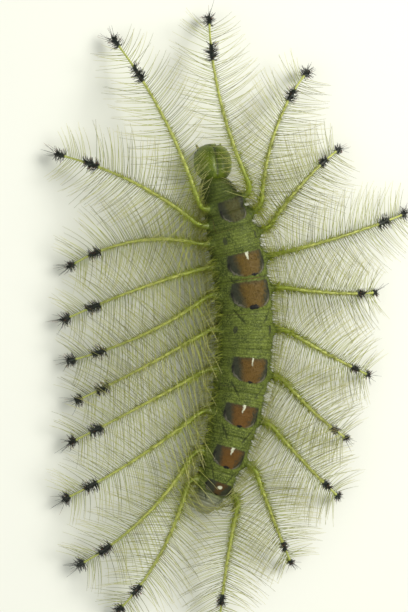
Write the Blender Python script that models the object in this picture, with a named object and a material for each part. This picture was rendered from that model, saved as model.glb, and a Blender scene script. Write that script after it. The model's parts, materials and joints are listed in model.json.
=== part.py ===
"""Larva of the gaudy baron butterfly, a still model at life size.

The larva stands on its prolegs. +Y runs towards its head, +X to its right, +Z up.
All sizes below are in millimetres, and become metres where a mesh is made.
The body is a row of soft segments that follow a gentle bend. Ten pairs of long
branched spines, the scoli, stand out sideways from the thorax and abdomen.
"""

import math
import random

import bmesh
import bpy
from mathutils import Vector
from mathutils.kdtree import KDTree

METRE = 0.001
GAP = 0.3

# Segments from front to back: length, half width, height of the back,
# height of the belly, and the degrees by which the axis turns along it.
SEGMENTS = (
    ("prothorax", 1.75, 1.95, 4.6, 1.35, -7.5),
    ("mesothorax", 1.6, 2.35, 5.2, 1.30, 2.5),
    ("metathorax", 1.7, 2.60, 5.6, 1.25, 3.0),
    ("abdomen_1", 2.65, 2.85, 5.95, 1.15, 3.5),
    ("abdomen_2", 3.1, 3.00, 6.2, 1.10, 4.0),
    ("abdomen_3", 3.4, 3.10, 6.35, 1.10, 5.0),
    ("abdomen_4", 4.1, 3.15, 6.4, 1.10, 7.0),
    ("abdomen_5", 4.7, 3.05, 6.25, 1.10, 6.0),
    ("abdomen_6", 4.8, 2.80, 5.85, 1.10, 5.0),
    ("abdomen_7", 4.0, 2.45, 5.2, 1.10, 4.5),
    ("abdomen_8", 2.5, 2.05, 4.4, 1.10, 4.5),
    ("abdomen_9", 1.0, 1.65, 3.7, 1.10, 2.5),
    ("abdomen_10", 1.4, 1.25, 3.2, 1.10, 2.0),
)
FRONT_HEADING = 14.0
FRONT_HALF_WIDTH = 1.70
FRONT_TOP = 4.3
TAIL_HALF_WIDTH = 0.75
TAIL_TOP = 2.7
CREASE = 0.06
WIDEST_SHARE = 0.40
BELLY_POWER = 2.6
BODY_SIDES = 16
RING_SHARES = (0.0, 0.10, 0.32, 0.68, 0.90, 1.0)
SHARP_ANGLE = 50

# Each spine: segment, side, length, heading at the root and at the tip in degrees
# forward of square to the model, rise at the root and droop at the tip in degrees.
SPINES = (
    ("mesothorax", "right", 21.5, 122, 80, 13, 33),
    ("metathorax", "right", 18.5, 92, 43, 9, 28),
    ("abdomen_1", "right", 14.5, 59, 30, 12, 34),
    ("abdomen_2", "right", 19.0, 14, 19, 18, 36),
    ("abdomen_3", "right", 14.0, -10, 5, 18, 42),
    ("abdomen_4", "right", 14.0, -33, -18, 17, 42),
    ("abdomen_5", "right", 13.0, -53, -25, 16, 42),
    ("abdomen_6", "right", 14.0, -53, -34, 18, 40),
    ("abdomen_7", "right", 13.5, -76, -55, 18, 38),
    ("abdomen_8", "right", 15.5, -111, -82, 21, 38),
    ("mesothorax", "left", 22.0, 70, 59, 12, 31),
    ("metathorax", "left", 18.5, 38, 16, 14, 33),
    ("abdomen_1", "left", 16.0, 17, -36, 12, 33),
    ("abdomen_2", "left", 17.5, -13, -28, 14, 33),
    ("abdomen_3", "left", 18.0, -35, -16, 17, 36),
    ("abdomen_4", "left", 17.5, -28, -29, 16, 35),
    ("abdomen_5", "left", 18.0, -26, -31, 15, 34),
    ("abdomen_6", "left", 19.0, -35, -31, 18, 35),
    ("abdomen_7", "left", 19.0, -56, -34, 20, 35),
    ("abdomen_8", "left", 17.5, -71, -55, 24, 39),
)
# Where a spine stands on its segment: share of the length, degrees above the
# widest line, and degrees by which its foot leans forward.
SPINE_SEATS = {
    "mesothorax": (0.40, 34, 28),
    "metathorax": (0.50, 20, 18),
    "abdomen_1": (0.45, 14, 10),
    "abdomen_2": (0.40, 12, 4),
    "abdomen_3": (0.40, 12, 0),
    "abdomen_4": (0.50, 12, 0),
    "abdomen_5": (0.55, 12, -4),
    "abdomen_6": (0.55, 12, -8),
    "abdomen_7": (0.60, 14, -18),
    "abdomen_8": (0.70, 18, -30),
}
# Share of a foot's lean that its gap allows for, and the length over which a spine
# turns from the way of its foot to its own bearing.
LEAN_SHARE = 0.7
SPINE_BEND = 1.7
SPINE_STEPS = 40
SPINE_SIDES = 6
# Radius of a spine's shaft at shares of its length, with its two swollen stretches.
SHAFT = (
    (0.0, 0.55), (0.03, 0.47), (0.07, 0.42), (0.14, 0.40), (0.26, 0.38), (0.40, 0.36),
    (0.55, 0.34), (0.70, 0.31), (0.74, 0.42), (0.80, 0.44), (0.85, 0.32), (0.91, 0.30),
    (0.935, 0.40), (0.97, 0.36), (1.0, 0.14),
)

# Branches down both sides of a spine: pairs, the shares of the shaft where they
# start and end, their length, and their sweep from the shaft in degrees at each end.
BRANCH_PAIRS = 11
BRANCH_SHARES = (0.085, 0.69)
BRANCH_LENGTHS = (4.0, 5.2, 3.4)
BRANCH_SWEEPS = (68, 50)
BRANCH_LIFT = (2, 14)
BRANCH_SWING = 4
BRANCH_VARIETY = (0.9, 1.05)
BRANCH_RADIUS = 0.30
BRANCH_LEAST = 0.9
BRANCH_SIDES = 3
# Short branches round the two swollen stretches: share of the shaft, degrees round
# it from its right side, degrees from the shaft, length.
SPINULES = (
    (0.755, 0, 62, 1.5), (0.765, 180, 62, 1.5), (0.80, 90, 55, 1.3),
    (0.94, 10, 50, 1.2), (0.95, 170, 50, 1.2), (0.97, 90, 40, 1.0),
)
SPINULE_SWING = 12
SPINULE_RADIUS = 0.24
BRANCH_SEED = 7
# Room kept by a branch: to the half way line between two spines, to the skin, to the floor.
ROOM_TO_SPINE = 0.5
ROOM_TO_SKIN = 0.85
ROOM_TO_FLOOR = 0.45
MARCH = 0.1

LEG_SIDES = 8
# Each leg: distance of its root from the midline.
LEGS = (("prothorax", 0.75), ("mesothorax", 0.85), ("metathorax", 0.95))
# How far a leg reaches to the side, the share of its length where it has done so,
# how far it leans forward, and its radius from root to tip.
LEG_REACH = 0.45
LEG_REACH_SHARE = 0.7
LEG_LEAN = 0.45
LEG_RADII = (0.40, 0.34, 0.27, 0.22)

PROLEG_SIDES = 10
# Each proleg: segment, share along it, distance from the midline, sole radius.
PROLEGS = (
    ("abdomen_3", 0.5, 1.35, 0.62),
    ("abdomen_4", 0.5, 1.38, 0.64),
    ("abdomen_5", 0.5, 1.35, 0.64),
    ("abdomen_6", 0.5, 1.25, 0.60),
    ("abdomen_10", 0.45, 0.72, 0.46),
)
# Share of the way down a proleg and its radius there as a share of the sole's.
PROLEG_PROFILE = ((0.0, 1.0), (0.45, 0.88), (0.82, 1.0), (1.0, 0.86))

# Degrees by which the head turns right of the prothorax, and how far ahead it starts.
HEAD_TURN = 10
HEAD_ROOM = 0.35
HEAD_LENGTH = 3.7
HEAD_HALF_WIDTH = 2.05
HEAD_HALF_HEIGHT = 1.85
HEAD_CENTRE = 2.75
HEAD_DROP = 0.55
HEAD_SIDES = 20
HEAD_SHARES = (0.0, 0.06, 0.16, 0.30, 0.46, 0.62, 0.77, 0.89, 0.97)
# Share of the head's length where it is widest, how far it swells from there as a
# share of its length, and the power that rounds it.
HEAD_SWELL = (0.47, 0.56, 2.3)
# Depth of the furrow between the lobes, its half angle, and the share where it is full.
HEAD_FURROW = (0.09, 0.22, 0.33)
# What stands out of the head capsule: share of its length, distance to the side,
# height, lean to the side and forward against down, length, root and tip radius.
FEELER = (0.80, 0.95, 1.55, (0.45, 1.0, -0.25), 1.05, 0.27, 0.16)
JAW = (0.80, 0.38, 1.15, (-0.1, 1.0, -0.75), 1.05, 0.36, 0.22)
LIP = (0.84, 0.0, 1.75, (0.0, 1.0, -0.6), 0.75, 0.62, 0.45)
KNOB_SIDES = 8
# Rings of a knob: share of its length and share of its taper.
KNOB_RINGS = ((0, 0), (0.6, 0.4), (1, 1))

SKIN = (0.16, 0.20, 0.065)
SHAFT_COLOUR = (0.42, 0.52, 0.14)
HEAD_COLOUR = (0.14, 0.20, 0.03)
LEG_COLOUR = (0.22, 0.26, 0.09)
SIDES = {"left": -1, "right": 1}


def mix(a, b, share):
    return a + (b - a) * share


def ease(share):
    share = min(max(share, 0.0), 1.0)
    return share * share * (3 - 2 * share)


def forward(heading):
    """Unit vector towards the head, for a heading in degrees to the left of +Y."""
    angle = math.radians(heading)
    return Vector((-math.sin(angle), math.cos(angle), 0))


def rightward(heading):
    angle = math.radians(heading)
    return Vector((math.cos(angle), math.sin(angle), 0))


def walk_axis(steps=20):
    """Follow the body from front to back and return each segment's plan points."""
    point = Vector((0, 0, 0))
    heading = FRONT_HEADING
    axis = {}
    for name, length, _, _, _, turn in SEGMENTS:
        points = [(point.copy(), heading)]
        for _ in range(steps):
            point = point - forward(heading - turn / steps / 2) * (length / steps)
            heading -= turn / steps
            points.append((point.copy(), heading))
        axis[name] = points
    return axis


AXIS = walk_axis()
NAMES = [segment[0] for segment in SEGMENTS]


def on_axis(name, share):
    """Plan point and heading at a share of a segment's length."""
    points = AXIS[name]
    place = min(max(share, 0.0), 1.0) * (len(points) - 1)
    index = min(int(place), len(points) - 2)
    (here, here_heading), (there, there_heading) = points[index], points[index + 1]
    return here.lerp(there, place - index), mix(here_heading, there_heading, place - index)


def girth(name, share):
    """Half width, back height and belly height at a share of a segment's length."""
    index = NAMES.index(name)
    _, length, width, top, belly, _ = SEGMENTS[index]
    if share < 0.5:
        if index == 0:
            other = (FRONT_HALF_WIDTH, FRONT_TOP, belly)
            blend = (0.5 - share) * 2
        else:
            other = SEGMENTS[index - 1][2:5]
            blend = (0.5 - share) * 2 * length / (length + SEGMENTS[index - 1][1])
    else:
        if index == len(SEGMENTS) - 1:
            other = (TAIL_HALF_WIDTH, TAIL_TOP, belly)
            blend = ((share - 0.5) * 2) ** 2
        else:
            other = SEGMENTS[index + 1][2:5]
            blend = (share - 0.5) * 2 * length / (length + SEGMENTS[index + 1][1])
    return [mix(mine, theirs, blend) for mine, theirs in zip((width, top, belly), other)]


def section(name, share):
    """Half width, widest height, rise above it and drop below it, creases included."""
    width, top, belly = girth(name, share)
    middle = belly + WIDEST_SHARE * (top - belly)
    bulge = 1 - CREASE * abs(2 * share - 1) ** 4
    return width * bulge, middle, (top - middle) * bulge, (middle - belly) * bulge


def body_point(name, share, angle):
    """Point on a segment's surface, the angle counted up from its right side."""
    width, middle, rise, drop = section(name, share)
    across, height = math.cos(angle), math.sin(angle)
    if height >= 0:
        across *= width
        height = middle + height * rise
    else:
        power = 2 / BELLY_POWER
        across = math.copysign(abs(across) ** power, across) * width
        height = middle - abs(height) ** power * drop
    place, heading = on_axis(name, share)
    return place + rightward(heading) * across + Vector((0, 0, height))


def belly_height(name, share, across):
    width, middle, _, drop = section(name, share)
    inner = max(1 - (abs(across) / width) ** BELLY_POWER, 0.0)
    return middle - drop * inner ** (1 / BELLY_POWER)


def material(name, colour, roughness):
    made = bpy.data.materials.new(name)
    made.use_nodes = True
    shader = made.node_tree.nodes["Principled BSDF"]
    shader.inputs["Base Color"].default_value = (*colour, 1)
    shader.inputs["Roughness"].default_value = roughness
    shader.inputs["Metallic"].default_value = 0.0
    return made


def loft_mesh(name, rings, origin):
    """Closed mesh through rings of points, each end closed by a fan."""
    shape = bmesh.new()
    loops = [[shape.verts.new((Vector(point) - origin) * METRE) for point in ring] for ring in rings]
    for first, second in zip(loops, loops[1:]):
        for index in range(len(first)):
            after = (index + 1) % len(first)
            shape.faces.new((first[index], first[after], second[after], second[index]))
    for loop in (loops[0], loops[-1]):
        centre = sum((vert.co for vert in loop), Vector()) / len(loop)
        hub = shape.verts.new(centre)
        for index in range(len(loop)):
            shape.faces.new((loop[index], loop[(index + 1) % len(loop)], hub))
    bmesh.ops.recalc_face_normals(shape, faces=shape.faces)
    mesh = bpy.data.meshes.new(name)
    shape.to_mesh(mesh)
    shape.free()
    return mesh


def add_object(name, mesh, origin, parent, finish):
    made = bpy.data.objects.new(name, mesh)
    bpy.context.collection.objects.link(made)
    made.location = origin * METRE
    made.parent = parent
    mesh.materials.clear()
    mesh.materials.append(finish)
    mesh.shade_smooth()
    mesh.set_sharp_from_angle(angle=math.radians(SHARP_ANGLE))
    return made


def largest_surface(mesh):
    """Keep only the closed surface of a mesh that has the most faces."""
    shape = bmesh.new()
    shape.from_mesh(mesh)
    left = set(shape.faces)
    surfaces = []
    while left:
        stack = [left.pop()]
        surface = set(stack)
        while stack:
            for edge in stack.pop().edges:
                for face in edge.link_faces:
                    if face in left:
                        left.remove(face)
                        surface.add(face)
                        stack.append(face)
        surfaces.append(surface)
    surfaces.sort(key=len)
    for surface in surfaces[:-1]:
        bmesh.ops.delete(shape, geom=list(surface), context="FACES")
    shape.to_mesh(mesh)
    shape.free()


def join(base, pieces):
    """Fuse closed pieces into a base object by one Boolean union on a collection."""
    if not pieces:
        return
    group = bpy.data.collections.new(base.name + "_pieces")
    bpy.context.scene.collection.children.link(group)
    for index, mesh in enumerate(pieces):
        piece = bpy.data.objects.new(f"{base.name}_piece_{index}", mesh)
        piece.hide_render = True
        piece.display_type = "WIRE"
        group.objects.link(piece)
        piece.parent = base
    union = base.modifiers.new("join", "BOOLEAN")
    union.operation = "UNION"
    union.operand_type = "COLLECTION"
    union.collection = group
    union.solver = "EXACT"
    bpy.context.view_layer.update()
    seen = base.evaluated_get(bpy.context.evaluated_depsgraph_get())
    mesh = bpy.data.meshes.new_from_object(seen)
    base.modifiers.remove(union)
    base.data = mesh
    for piece in list(group.objects):
        bpy.data.objects.remove(piece)
    bpy.data.collections.remove(group)
    largest_surface(mesh)


def make_segments(parent, finish):
    for index, (name, length, _, _, _, _) in enumerate(SEGMENTS):
        last = index == len(SEGMENTS) - 1
        front = GAP / 2 / length
        back = 0.0 if last else GAP / 2 / length
        rings = []
        for share in RING_SHARES:
            place = mix(front, 1 - back, share)
            turns = [2 * math.pi * side / BODY_SIDES for side in range(BODY_SIDES)]
            rings.append([body_point(name, place, turn) for turn in turns])
        centre, _ = on_axis(name, 0.5)
        add_object(name, loft_mesh(name, rings, centre), centre, parent, finish)


def head_place():
    """Plan point and heading where the head starts."""
    place, heading = on_axis(NAMES[0], 0.0)
    heading -= HEAD_TURN
    return place + forward(heading) * HEAD_ROOM, heading


def head_ring(share, start, heading):
    """One ring of the head capsule, with the furrow between its two lobes."""
    widest, reach, power = HEAD_SWELL
    depth, half_angle, full = HEAD_FURROW
    swell = (1 - abs((share - widest) / reach) ** power) ** (1 / power)
    centre = start + forward(heading) * (share * HEAD_LENGTH)
    height = HEAD_CENTRE - HEAD_DROP * share
    ring = []
    for side in range(HEAD_SIDES):
        angle = 2 * math.pi * side / HEAD_SIDES
        from_top = math.atan2(math.cos(angle), math.sin(angle))
        furrow = depth * math.exp(-(from_top / half_angle) ** 2) * ease(share / full)
        size = swell * (1 - furrow)
        across = math.cos(angle) * HEAD_HALF_WIDTH * size
        up = math.sin(angle) * HEAD_HALF_HEIGHT * size
        ring.append(centre + rightward(heading) * across + Vector((0, 0, height + up)))
    return ring


def make_head(parent, finish):
    start, heading = head_place()
    rings = [head_ring(share, start, heading) for share in HEAD_SHARES]
    head = add_object("head", loft_mesh("head", rings, start), start, parent, finish)
    pieces = [knob_mesh(heading, 1, LIP)]
    for sign in SIDES.values():
        pieces.append(knob_mesh(heading, sign, FEELER))
        pieces.append(knob_mesh(heading, sign, JAW))
    join(head, pieces)


def knob_mesh(heading, sign, sizes):
    """Tapered knob on the head, measured from the head's own start."""
    share, aside, height, lean, length, root, end = sizes
    foot = forward(heading) * (share * HEAD_LENGTH) + rightward(heading) * (sign * aside)
    foot = foot + Vector((0, 0, height))
    way = rightward(heading) * (sign * lean[0]) + forward(heading) * lean[1]
    way = (way + Vector((0, 0, lean[2]))).normalized()
    rings = []
    for step, taper in KNOB_RINGS:
        rings.append(circle(foot + way * (length * step), way, mix(root, end, taper), KNOB_SIDES))
    return loft_mesh("knob", rings, Vector())


def make_legs(parent, finish):
    for name, offset in LEGS:
        for side, sign in SIDES.items():
            place, heading = on_axis(name, 0.5)
            top = belly_height(name, 0.5, offset) - GAP
            rings = []
            for step, radius in enumerate(LEG_RADII):
                share = step / (len(LEG_RADII) - 1)
                across = sign * (offset + LEG_REACH * ease(share / LEG_REACH_SHARE))
                ahead = LEG_LEAN * share ** 2
                height = top * (1 - share)
                ring = []
                for corner in range(LEG_SIDES):
                    angle = 2 * math.pi * corner / LEG_SIDES
                    out = across + radius * math.cos(angle)
                    level = belly_height(name, 0.5, out) - GAP if step == 0 else height
                    along = ahead + radius * math.sin(angle)
                    spot = place + rightward(heading) * out + forward(heading) * along
                    ring.append(spot + Vector((0, 0, level)))
                rings.append(ring)
            origin = place + rightward(heading) * (sign * offset) + Vector((0, 0, top))
            node = f"leg_{name}_{side}"
            add_object(node, loft_mesh(node, rings, origin), origin, parent, finish)


def make_prolegs(parent, finish):
    for name, share, offset, radius in PROLEGS:
        length = SEGMENTS[NAMES.index(name)][1]
        for side, sign in SIDES.items():
            place, heading = on_axis(name, share)
            rings = []
            for fall, swell in PROLEG_PROFILE:
                ring = []
                for corner in range(PROLEG_SIDES):
                    angle = 2 * math.pi * corner / PROLEG_SIDES
                    out = sign * offset + radius * swell * math.cos(angle)
                    along = radius * swell * math.sin(angle)
                    level = belly_height(name, share - along / length, out) - GAP
                    spot = place + rightward(heading) * out + forward(heading) * along
                    ring.append(spot + Vector((0, 0, level * (1 - fall))))
                rings.append(ring)
            origin = place + rightward(heading) * (sign * offset)
            node = f"proleg_{name}_{side}"
            add_object(node, loft_mesh(node, rings, origin), origin, parent, finish)


def direction(side, bearing, dip):
    """Unit vector for a bearing forward of square to the model and a dip, in degrees."""
    turn, fall = math.radians(bearing), math.radians(dip)
    flat = math.cos(fall)
    return Vector((SIDES[side] * math.cos(turn) * flat, math.sin(turn) * flat, -math.sin(fall)))


def spine_seat(name, side):
    """Foot of a spine, a gap off the skin, with the bearing and dip it leaves by."""
    share, lift, lean = SPINE_SEATS[name]
    sign = SIDES[side]
    width, middle, rise, _ = section(name, share)
    place, heading = on_axis(name, share)
    angle = math.radians(lift)
    outward = rightward(heading) * (sign * math.cos(angle) / width)
    outward = (outward + Vector((0, 0, math.sin(angle) / rise))).normalized()
    foot = place + rightward(heading) * (sign * width * math.cos(angle))
    foot = foot + Vector((0, 0, middle + rise * math.sin(angle)))
    bearing = math.degrees(math.atan2(outward.y, outward.x * sign)) + lean
    dip = -math.degrees(math.asin(outward.z))
    room = GAP + SHAFT[0][1] * math.sin(math.radians(abs(lean) * LEAN_SHARE))
    return foot + outward * room, bearing, dip


def spine_path(row):
    """Points along a spine and the direction at each of them."""
    name, side, length, root, tip, rise, droop = row
    point, bearing, dip = spine_seat(name, side)
    points = [point.copy()]
    ways = [direction(side, bearing, dip)]
    for step in range(SPINE_STEPS):
        share = (step + 0.5) / SPINE_STEPS
        free = ease(share * length / SPINE_BEND)
        way = direction(
            side,
            mix(bearing, mix(root, tip, share), free),
            mix(dip, mix(-rise, droop, share), free),
        )
        point = point + way * (length / SPINE_STEPS)
        points.append(point.copy())
        ways.append(way)
    return points, ways


def at_share(values, share):
    place = share * (len(values) - 1)
    index = min(int(place), len(values) - 2)
    return values[index].lerp(values[index + 1], place - index)


def frame_of(way):
    """Vectors to the side of and above a direction."""
    side = way.cross(Vector((0, 0, 1))).normalized()
    return side, side.cross(way).normalized()


def circle(centre, way, radius, sides):
    """Points round a centre, square to a direction, the first one on top."""
    across, above = frame_of(way)
    points = []
    for corner in range(sides):
        angle = 2 * math.pi * corner / sides
        points.append(centre + above * (radius * math.cos(angle)) + across * (radius * math.sin(angle)))
    return points


def shaft_mesh(name, points, ways):
    rings = []
    for share, radius in SHAFT:
        way = at_share(ways, share).normalized()
        rings.append(circle(at_share(points, share), way, radius, SPINE_SIDES))
    return loft_mesh(name, rings, points[0])


def point_tree(points):
    tree = KDTree(len(points))
    for index, point in enumerate(points):
        tree.insert(point, index)
    tree.balance()
    return tree


def skin_tree(shares=9, turns=24):
    """Search tree over points of the body and head, in plain millimetres."""
    points = []
    for name in NAMES:
        for step in range(shares):
            for turn in range(turns):
                points.append(body_point(name, step / (shares - 1), 2 * math.pi * turn / turns))
    start, heading = head_place()
    for share in HEAD_SHARES:
        points.extend(head_ring(share, start, heading))
    return point_tree(points)


def free_length(start, way, wanted, own, others, skin):
    """How far a branch can reach before it nears another spine, the skin or the floor."""
    reach = 0.0
    while reach < wanted:
        point = start + way * reach
        near = own.find(point)[2] + ROOM_TO_SPINE
        if point.z < ROOM_TO_FLOOR or skin.find(point)[2] < ROOM_TO_SKIN:
            return reach - MARCH
        if any(other.find(point)[2] < near for other in others):
            return reach - MARCH
        reach += MARCH
    return wanted


def branch_mesh(start, way, length, radius):
    """Three-sided thorn that tapers to a point."""
    shape = bmesh.new()
    ring = [shape.verts.new(point * METRE) for point in circle(start, way, radius, BRANCH_SIDES)]
    tip = shape.verts.new((start + way * length) * METRE)
    shape.faces.new(ring)
    for corner in range(BRANCH_SIDES):
        shape.faces.new((ring[corner], ring[(corner + 1) % BRANCH_SIDES], tip))
    bmesh.ops.recalc_face_normals(shape, faces=shape.faces)
    mesh = bpy.data.meshes.new("branch")
    shape.to_mesh(mesh)
    shape.free()
    return mesh


def side_branches(points, ways, own, others, skin, draw):
    """Thorns down both sides of a shaft, longest in the middle, kept clear of the rest."""
    pieces = []
    first, last = BRANCH_SHARES
    near, middle, far = BRANCH_LENGTHS
    for index in range(2 * BRANCH_PAIRS):
        along = index / (2 * BRANCH_PAIRS - 1)
        share = mix(first, last, along)
        sign = 1 if index % 2 else -1
        way = at_share(ways, share).normalized()
        across, above = frame_of(way)
        sweep = math.radians(mix(*BRANCH_SWEEPS, along) + draw.uniform(-BRANCH_SWING, BRANCH_SWING))
        lift = math.radians(draw.uniform(*BRANCH_LIFT))
        out = way * math.cos(sweep) + across * (sign * math.sin(sweep))
        out = (out * math.cos(lift) + above * math.sin(lift)).normalized()
        wanted = mix(near, middle, along * 2) if along < 0.5 else mix(middle, far, along * 2 - 1)
        wanted *= draw.uniform(*BRANCH_VARIETY)
        start = at_share(points, share) - points[0]
        length = free_length(start + points[0], out, wanted, own, others, skin)
        if length > BRANCH_LEAST:
            pieces.append(branch_mesh(start, out, length, BRANCH_RADIUS))
    return pieces


def end_spinules(points, ways, draw):
    pieces = []
    for share, round_turn, sweep, length in SPINULES:
        way = at_share(ways, share).normalized()
        across, above = frame_of(way)
        turn = math.radians(round_turn + draw.uniform(-SPINULE_SWING, SPINULE_SWING))
        angle = math.radians(sweep)
        out = across * math.cos(turn) + above * math.sin(turn)
        out = way * math.cos(angle) + out * math.sin(angle)
        start = at_share(points, share) - points[0]
        pieces.append(branch_mesh(start, out, length, SPINULE_RADIUS))
    return pieces


def make_spines(parent, finish):
    paths = {(row[0], row[1]): spine_path(row) for row in SPINES}
    trees = {key: point_tree(points) for key, (points, _) in paths.items()}
    skin = skin_tree()
    draw = random.Random(BRANCH_SEED)
    for key, (points, ways) in paths.items():
        node = "spine_" + "_".join(key)
        made = add_object(node, shaft_mesh(node, points, ways), points[0], parent, finish)
        others = [tree for other, tree in trees.items() if other != key]
        branches = side_branches(points, ways, trees[key], others, skin, draw)
        join(made, branches + end_spinules(points, ways, draw))


def centre_on_floor(parent):
    """Move the model so that the world origin is at the middle of its footprint."""
    bpy.context.view_layer.update()
    corners = []
    for child in parent.children:
        corners.extend(child.matrix_world @ Vector(corner) for corner in child.bound_box)
    low = Vector([min(corner[axis] for corner in corners) for axis in range(3)])
    high = Vector([max(corner[axis] for corner in corners) for axis in range(3)])
    parent.location = (-(low.x + high.x) / 2, -(low.y + high.y) / 2, -low.z)


def build():
    for old in list(bpy.data.objects):
        bpy.data.objects.remove(old)
    larva = bpy.data.objects.new("larva", None)
    bpy.context.collection.objects.link(larva)
    make_segments(larva, material("skin", SKIN, 0.62))
    make_head(larva, material("head", HEAD_COLOUR, 0.45))
    make_legs(larva, material("leg", LEG_COLOUR, 0.5))
    make_prolegs(larva, material("proleg", SKIN, 0.62))
    make_spines(larva, material("spine", SHAFT_COLOUR, 0.5))
    centre_on_floor(larva)


build()
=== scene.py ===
# %% [markdown]
# # Larva of the gaudy baron butterfly
#
# The real animal is a soft green larva about 40 mm long. Ten pairs of long stems, each
# fringed with fine hairs like a feather, stand out from its sides and hide its outline.
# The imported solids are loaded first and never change. They say where each segment, leg
# and spine is, and this script gives each one its fine surface, its hairs and its colour.

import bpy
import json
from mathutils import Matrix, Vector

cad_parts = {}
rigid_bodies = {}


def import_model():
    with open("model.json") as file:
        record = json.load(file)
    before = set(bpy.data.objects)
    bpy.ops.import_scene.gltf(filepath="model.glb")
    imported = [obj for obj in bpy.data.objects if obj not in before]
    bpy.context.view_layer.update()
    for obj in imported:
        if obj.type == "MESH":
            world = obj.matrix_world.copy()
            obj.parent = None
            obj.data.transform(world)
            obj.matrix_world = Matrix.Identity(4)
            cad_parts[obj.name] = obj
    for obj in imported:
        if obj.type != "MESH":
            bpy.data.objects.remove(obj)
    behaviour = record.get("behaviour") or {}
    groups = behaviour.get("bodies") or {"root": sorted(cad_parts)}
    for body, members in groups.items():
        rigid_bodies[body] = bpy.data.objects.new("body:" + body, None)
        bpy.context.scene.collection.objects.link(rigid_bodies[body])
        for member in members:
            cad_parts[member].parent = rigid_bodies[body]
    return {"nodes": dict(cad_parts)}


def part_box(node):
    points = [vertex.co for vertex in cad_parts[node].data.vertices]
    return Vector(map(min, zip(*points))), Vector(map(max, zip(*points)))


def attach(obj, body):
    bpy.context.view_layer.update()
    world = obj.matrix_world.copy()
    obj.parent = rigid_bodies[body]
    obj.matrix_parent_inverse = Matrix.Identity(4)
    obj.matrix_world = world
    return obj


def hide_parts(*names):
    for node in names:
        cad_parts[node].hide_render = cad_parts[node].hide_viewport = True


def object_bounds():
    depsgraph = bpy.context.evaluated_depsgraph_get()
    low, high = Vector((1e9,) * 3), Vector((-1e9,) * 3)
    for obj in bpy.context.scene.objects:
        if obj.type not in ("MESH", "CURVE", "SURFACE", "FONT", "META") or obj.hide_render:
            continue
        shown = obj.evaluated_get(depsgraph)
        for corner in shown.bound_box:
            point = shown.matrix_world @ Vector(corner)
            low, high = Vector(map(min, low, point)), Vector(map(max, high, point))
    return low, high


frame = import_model()
cad_box = [list(corner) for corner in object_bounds()]

import json
import math
import random

import bmesh
import bpy
import numpy as np
from mathutils import Vector, noise
from mathutils.kdtree import KDTree

MM = 0.001
SIDES = {"left": -1, "right": 1}
print("nodes in the frame:", len(frame["nodes"]))

# %% [markdown]
# ## Camera, floor and light
#
# The photo looks down on the back from a little to the animal's left. A lens of 100 mm
# keeps the long spines in proportion, and one tilt about the long axis gives the view.
# The floor is plain and pale. One large soft lamp stands on the right, because the left
# flank is in shade in the photo, and a weak one and the sky fill the shadows.

# %% Camera
TARGET = Vector((-4.188, 1.623, 3.0))
TILT = math.radians(16)
DISTANCE = 182
LENS = 100

camera_data = bpy.data.cameras.new("camera")
camera_data.lens = LENS
camera_data.clip_start = 0.01
camera = bpy.data.objects.new("camera", camera_data)
bpy.context.scene.collection.objects.link(camera)
camera.rotation_euler = (0, -TILT, 0)
camera.location = (TARGET + Vector((-math.sin(TILT), 0, math.cos(TILT))) * DISTANCE) * MM
bpy.context.scene.camera = camera
print("camera at", [round(value / MM, 2) for value in camera.location], "mm")

# %% Floor and light
FLOOR_HALF = 1500


def add_object(name, mesh):
    made = bpy.data.objects.new(name, mesh)
    bpy.context.scene.collection.objects.link(made)
    return made


def add_lamp(name, place, size, power, colour):
    """Square soft lamp in millimetres, turned towards the middle of the model."""
    lamp = bpy.data.lights.new(name, "AREA")
    lamp.shape = "SQUARE"
    lamp.size = size * MM
    lamp.energy = power
    lamp.color = colour
    made = add_object(name, lamp)
    made.location = Vector(place) * MM
    made.rotation_euler = (-Vector(place)).to_track_quat("-Z", "Y").to_euler()
    return made


signs = ((-1, -1), (1, -1), (1, 1), (-1, 1))
corners = [(x * FLOOR_HALF * MM, y * FLOOR_HALF * MM, 0) for x, y in signs]
floor_mesh = bpy.data.meshes.new("floor")
floor_mesh.from_pydata(corners, [], [(0, 1, 2, 3)])
floor = add_object("floor", floor_mesh)

add_lamp("key", (190, 90, 210), 150, 0.88, (1.0, 0.98, 0.92))
add_lamp("fill", (-220, -60, 160), 200, 0.27, (0.98, 1.0, 0.94))
world = bpy.data.worlds.new("studio")
world.use_nodes = True
world.node_tree.nodes["Background"].inputs["Color"].default_value = (0.97, 0.99, 0.96, 1)
world.node_tree.nodes["Background"].inputs["Strength"].default_value = 0.37
bpy.context.scene.world = world
bpy.context.scene.view_settings.view_transform = "Standard"
print("floor", 2 * FLOOR_HALF, "mm wide, with a key and a fill lamp")

# %% [markdown]
# ## The shape of the body, as a rule
#
# The body is a row of thirteen segments along a gentle bend. A few sizes for each one,
# the same as in the solids, give a smooth tube: where its axis runs, how wide it is, and
# how high its back and belly are. Skin, spines, pile and legs all ask these functions
# where the surface is, so that everything that grows from the body stays on it.

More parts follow.
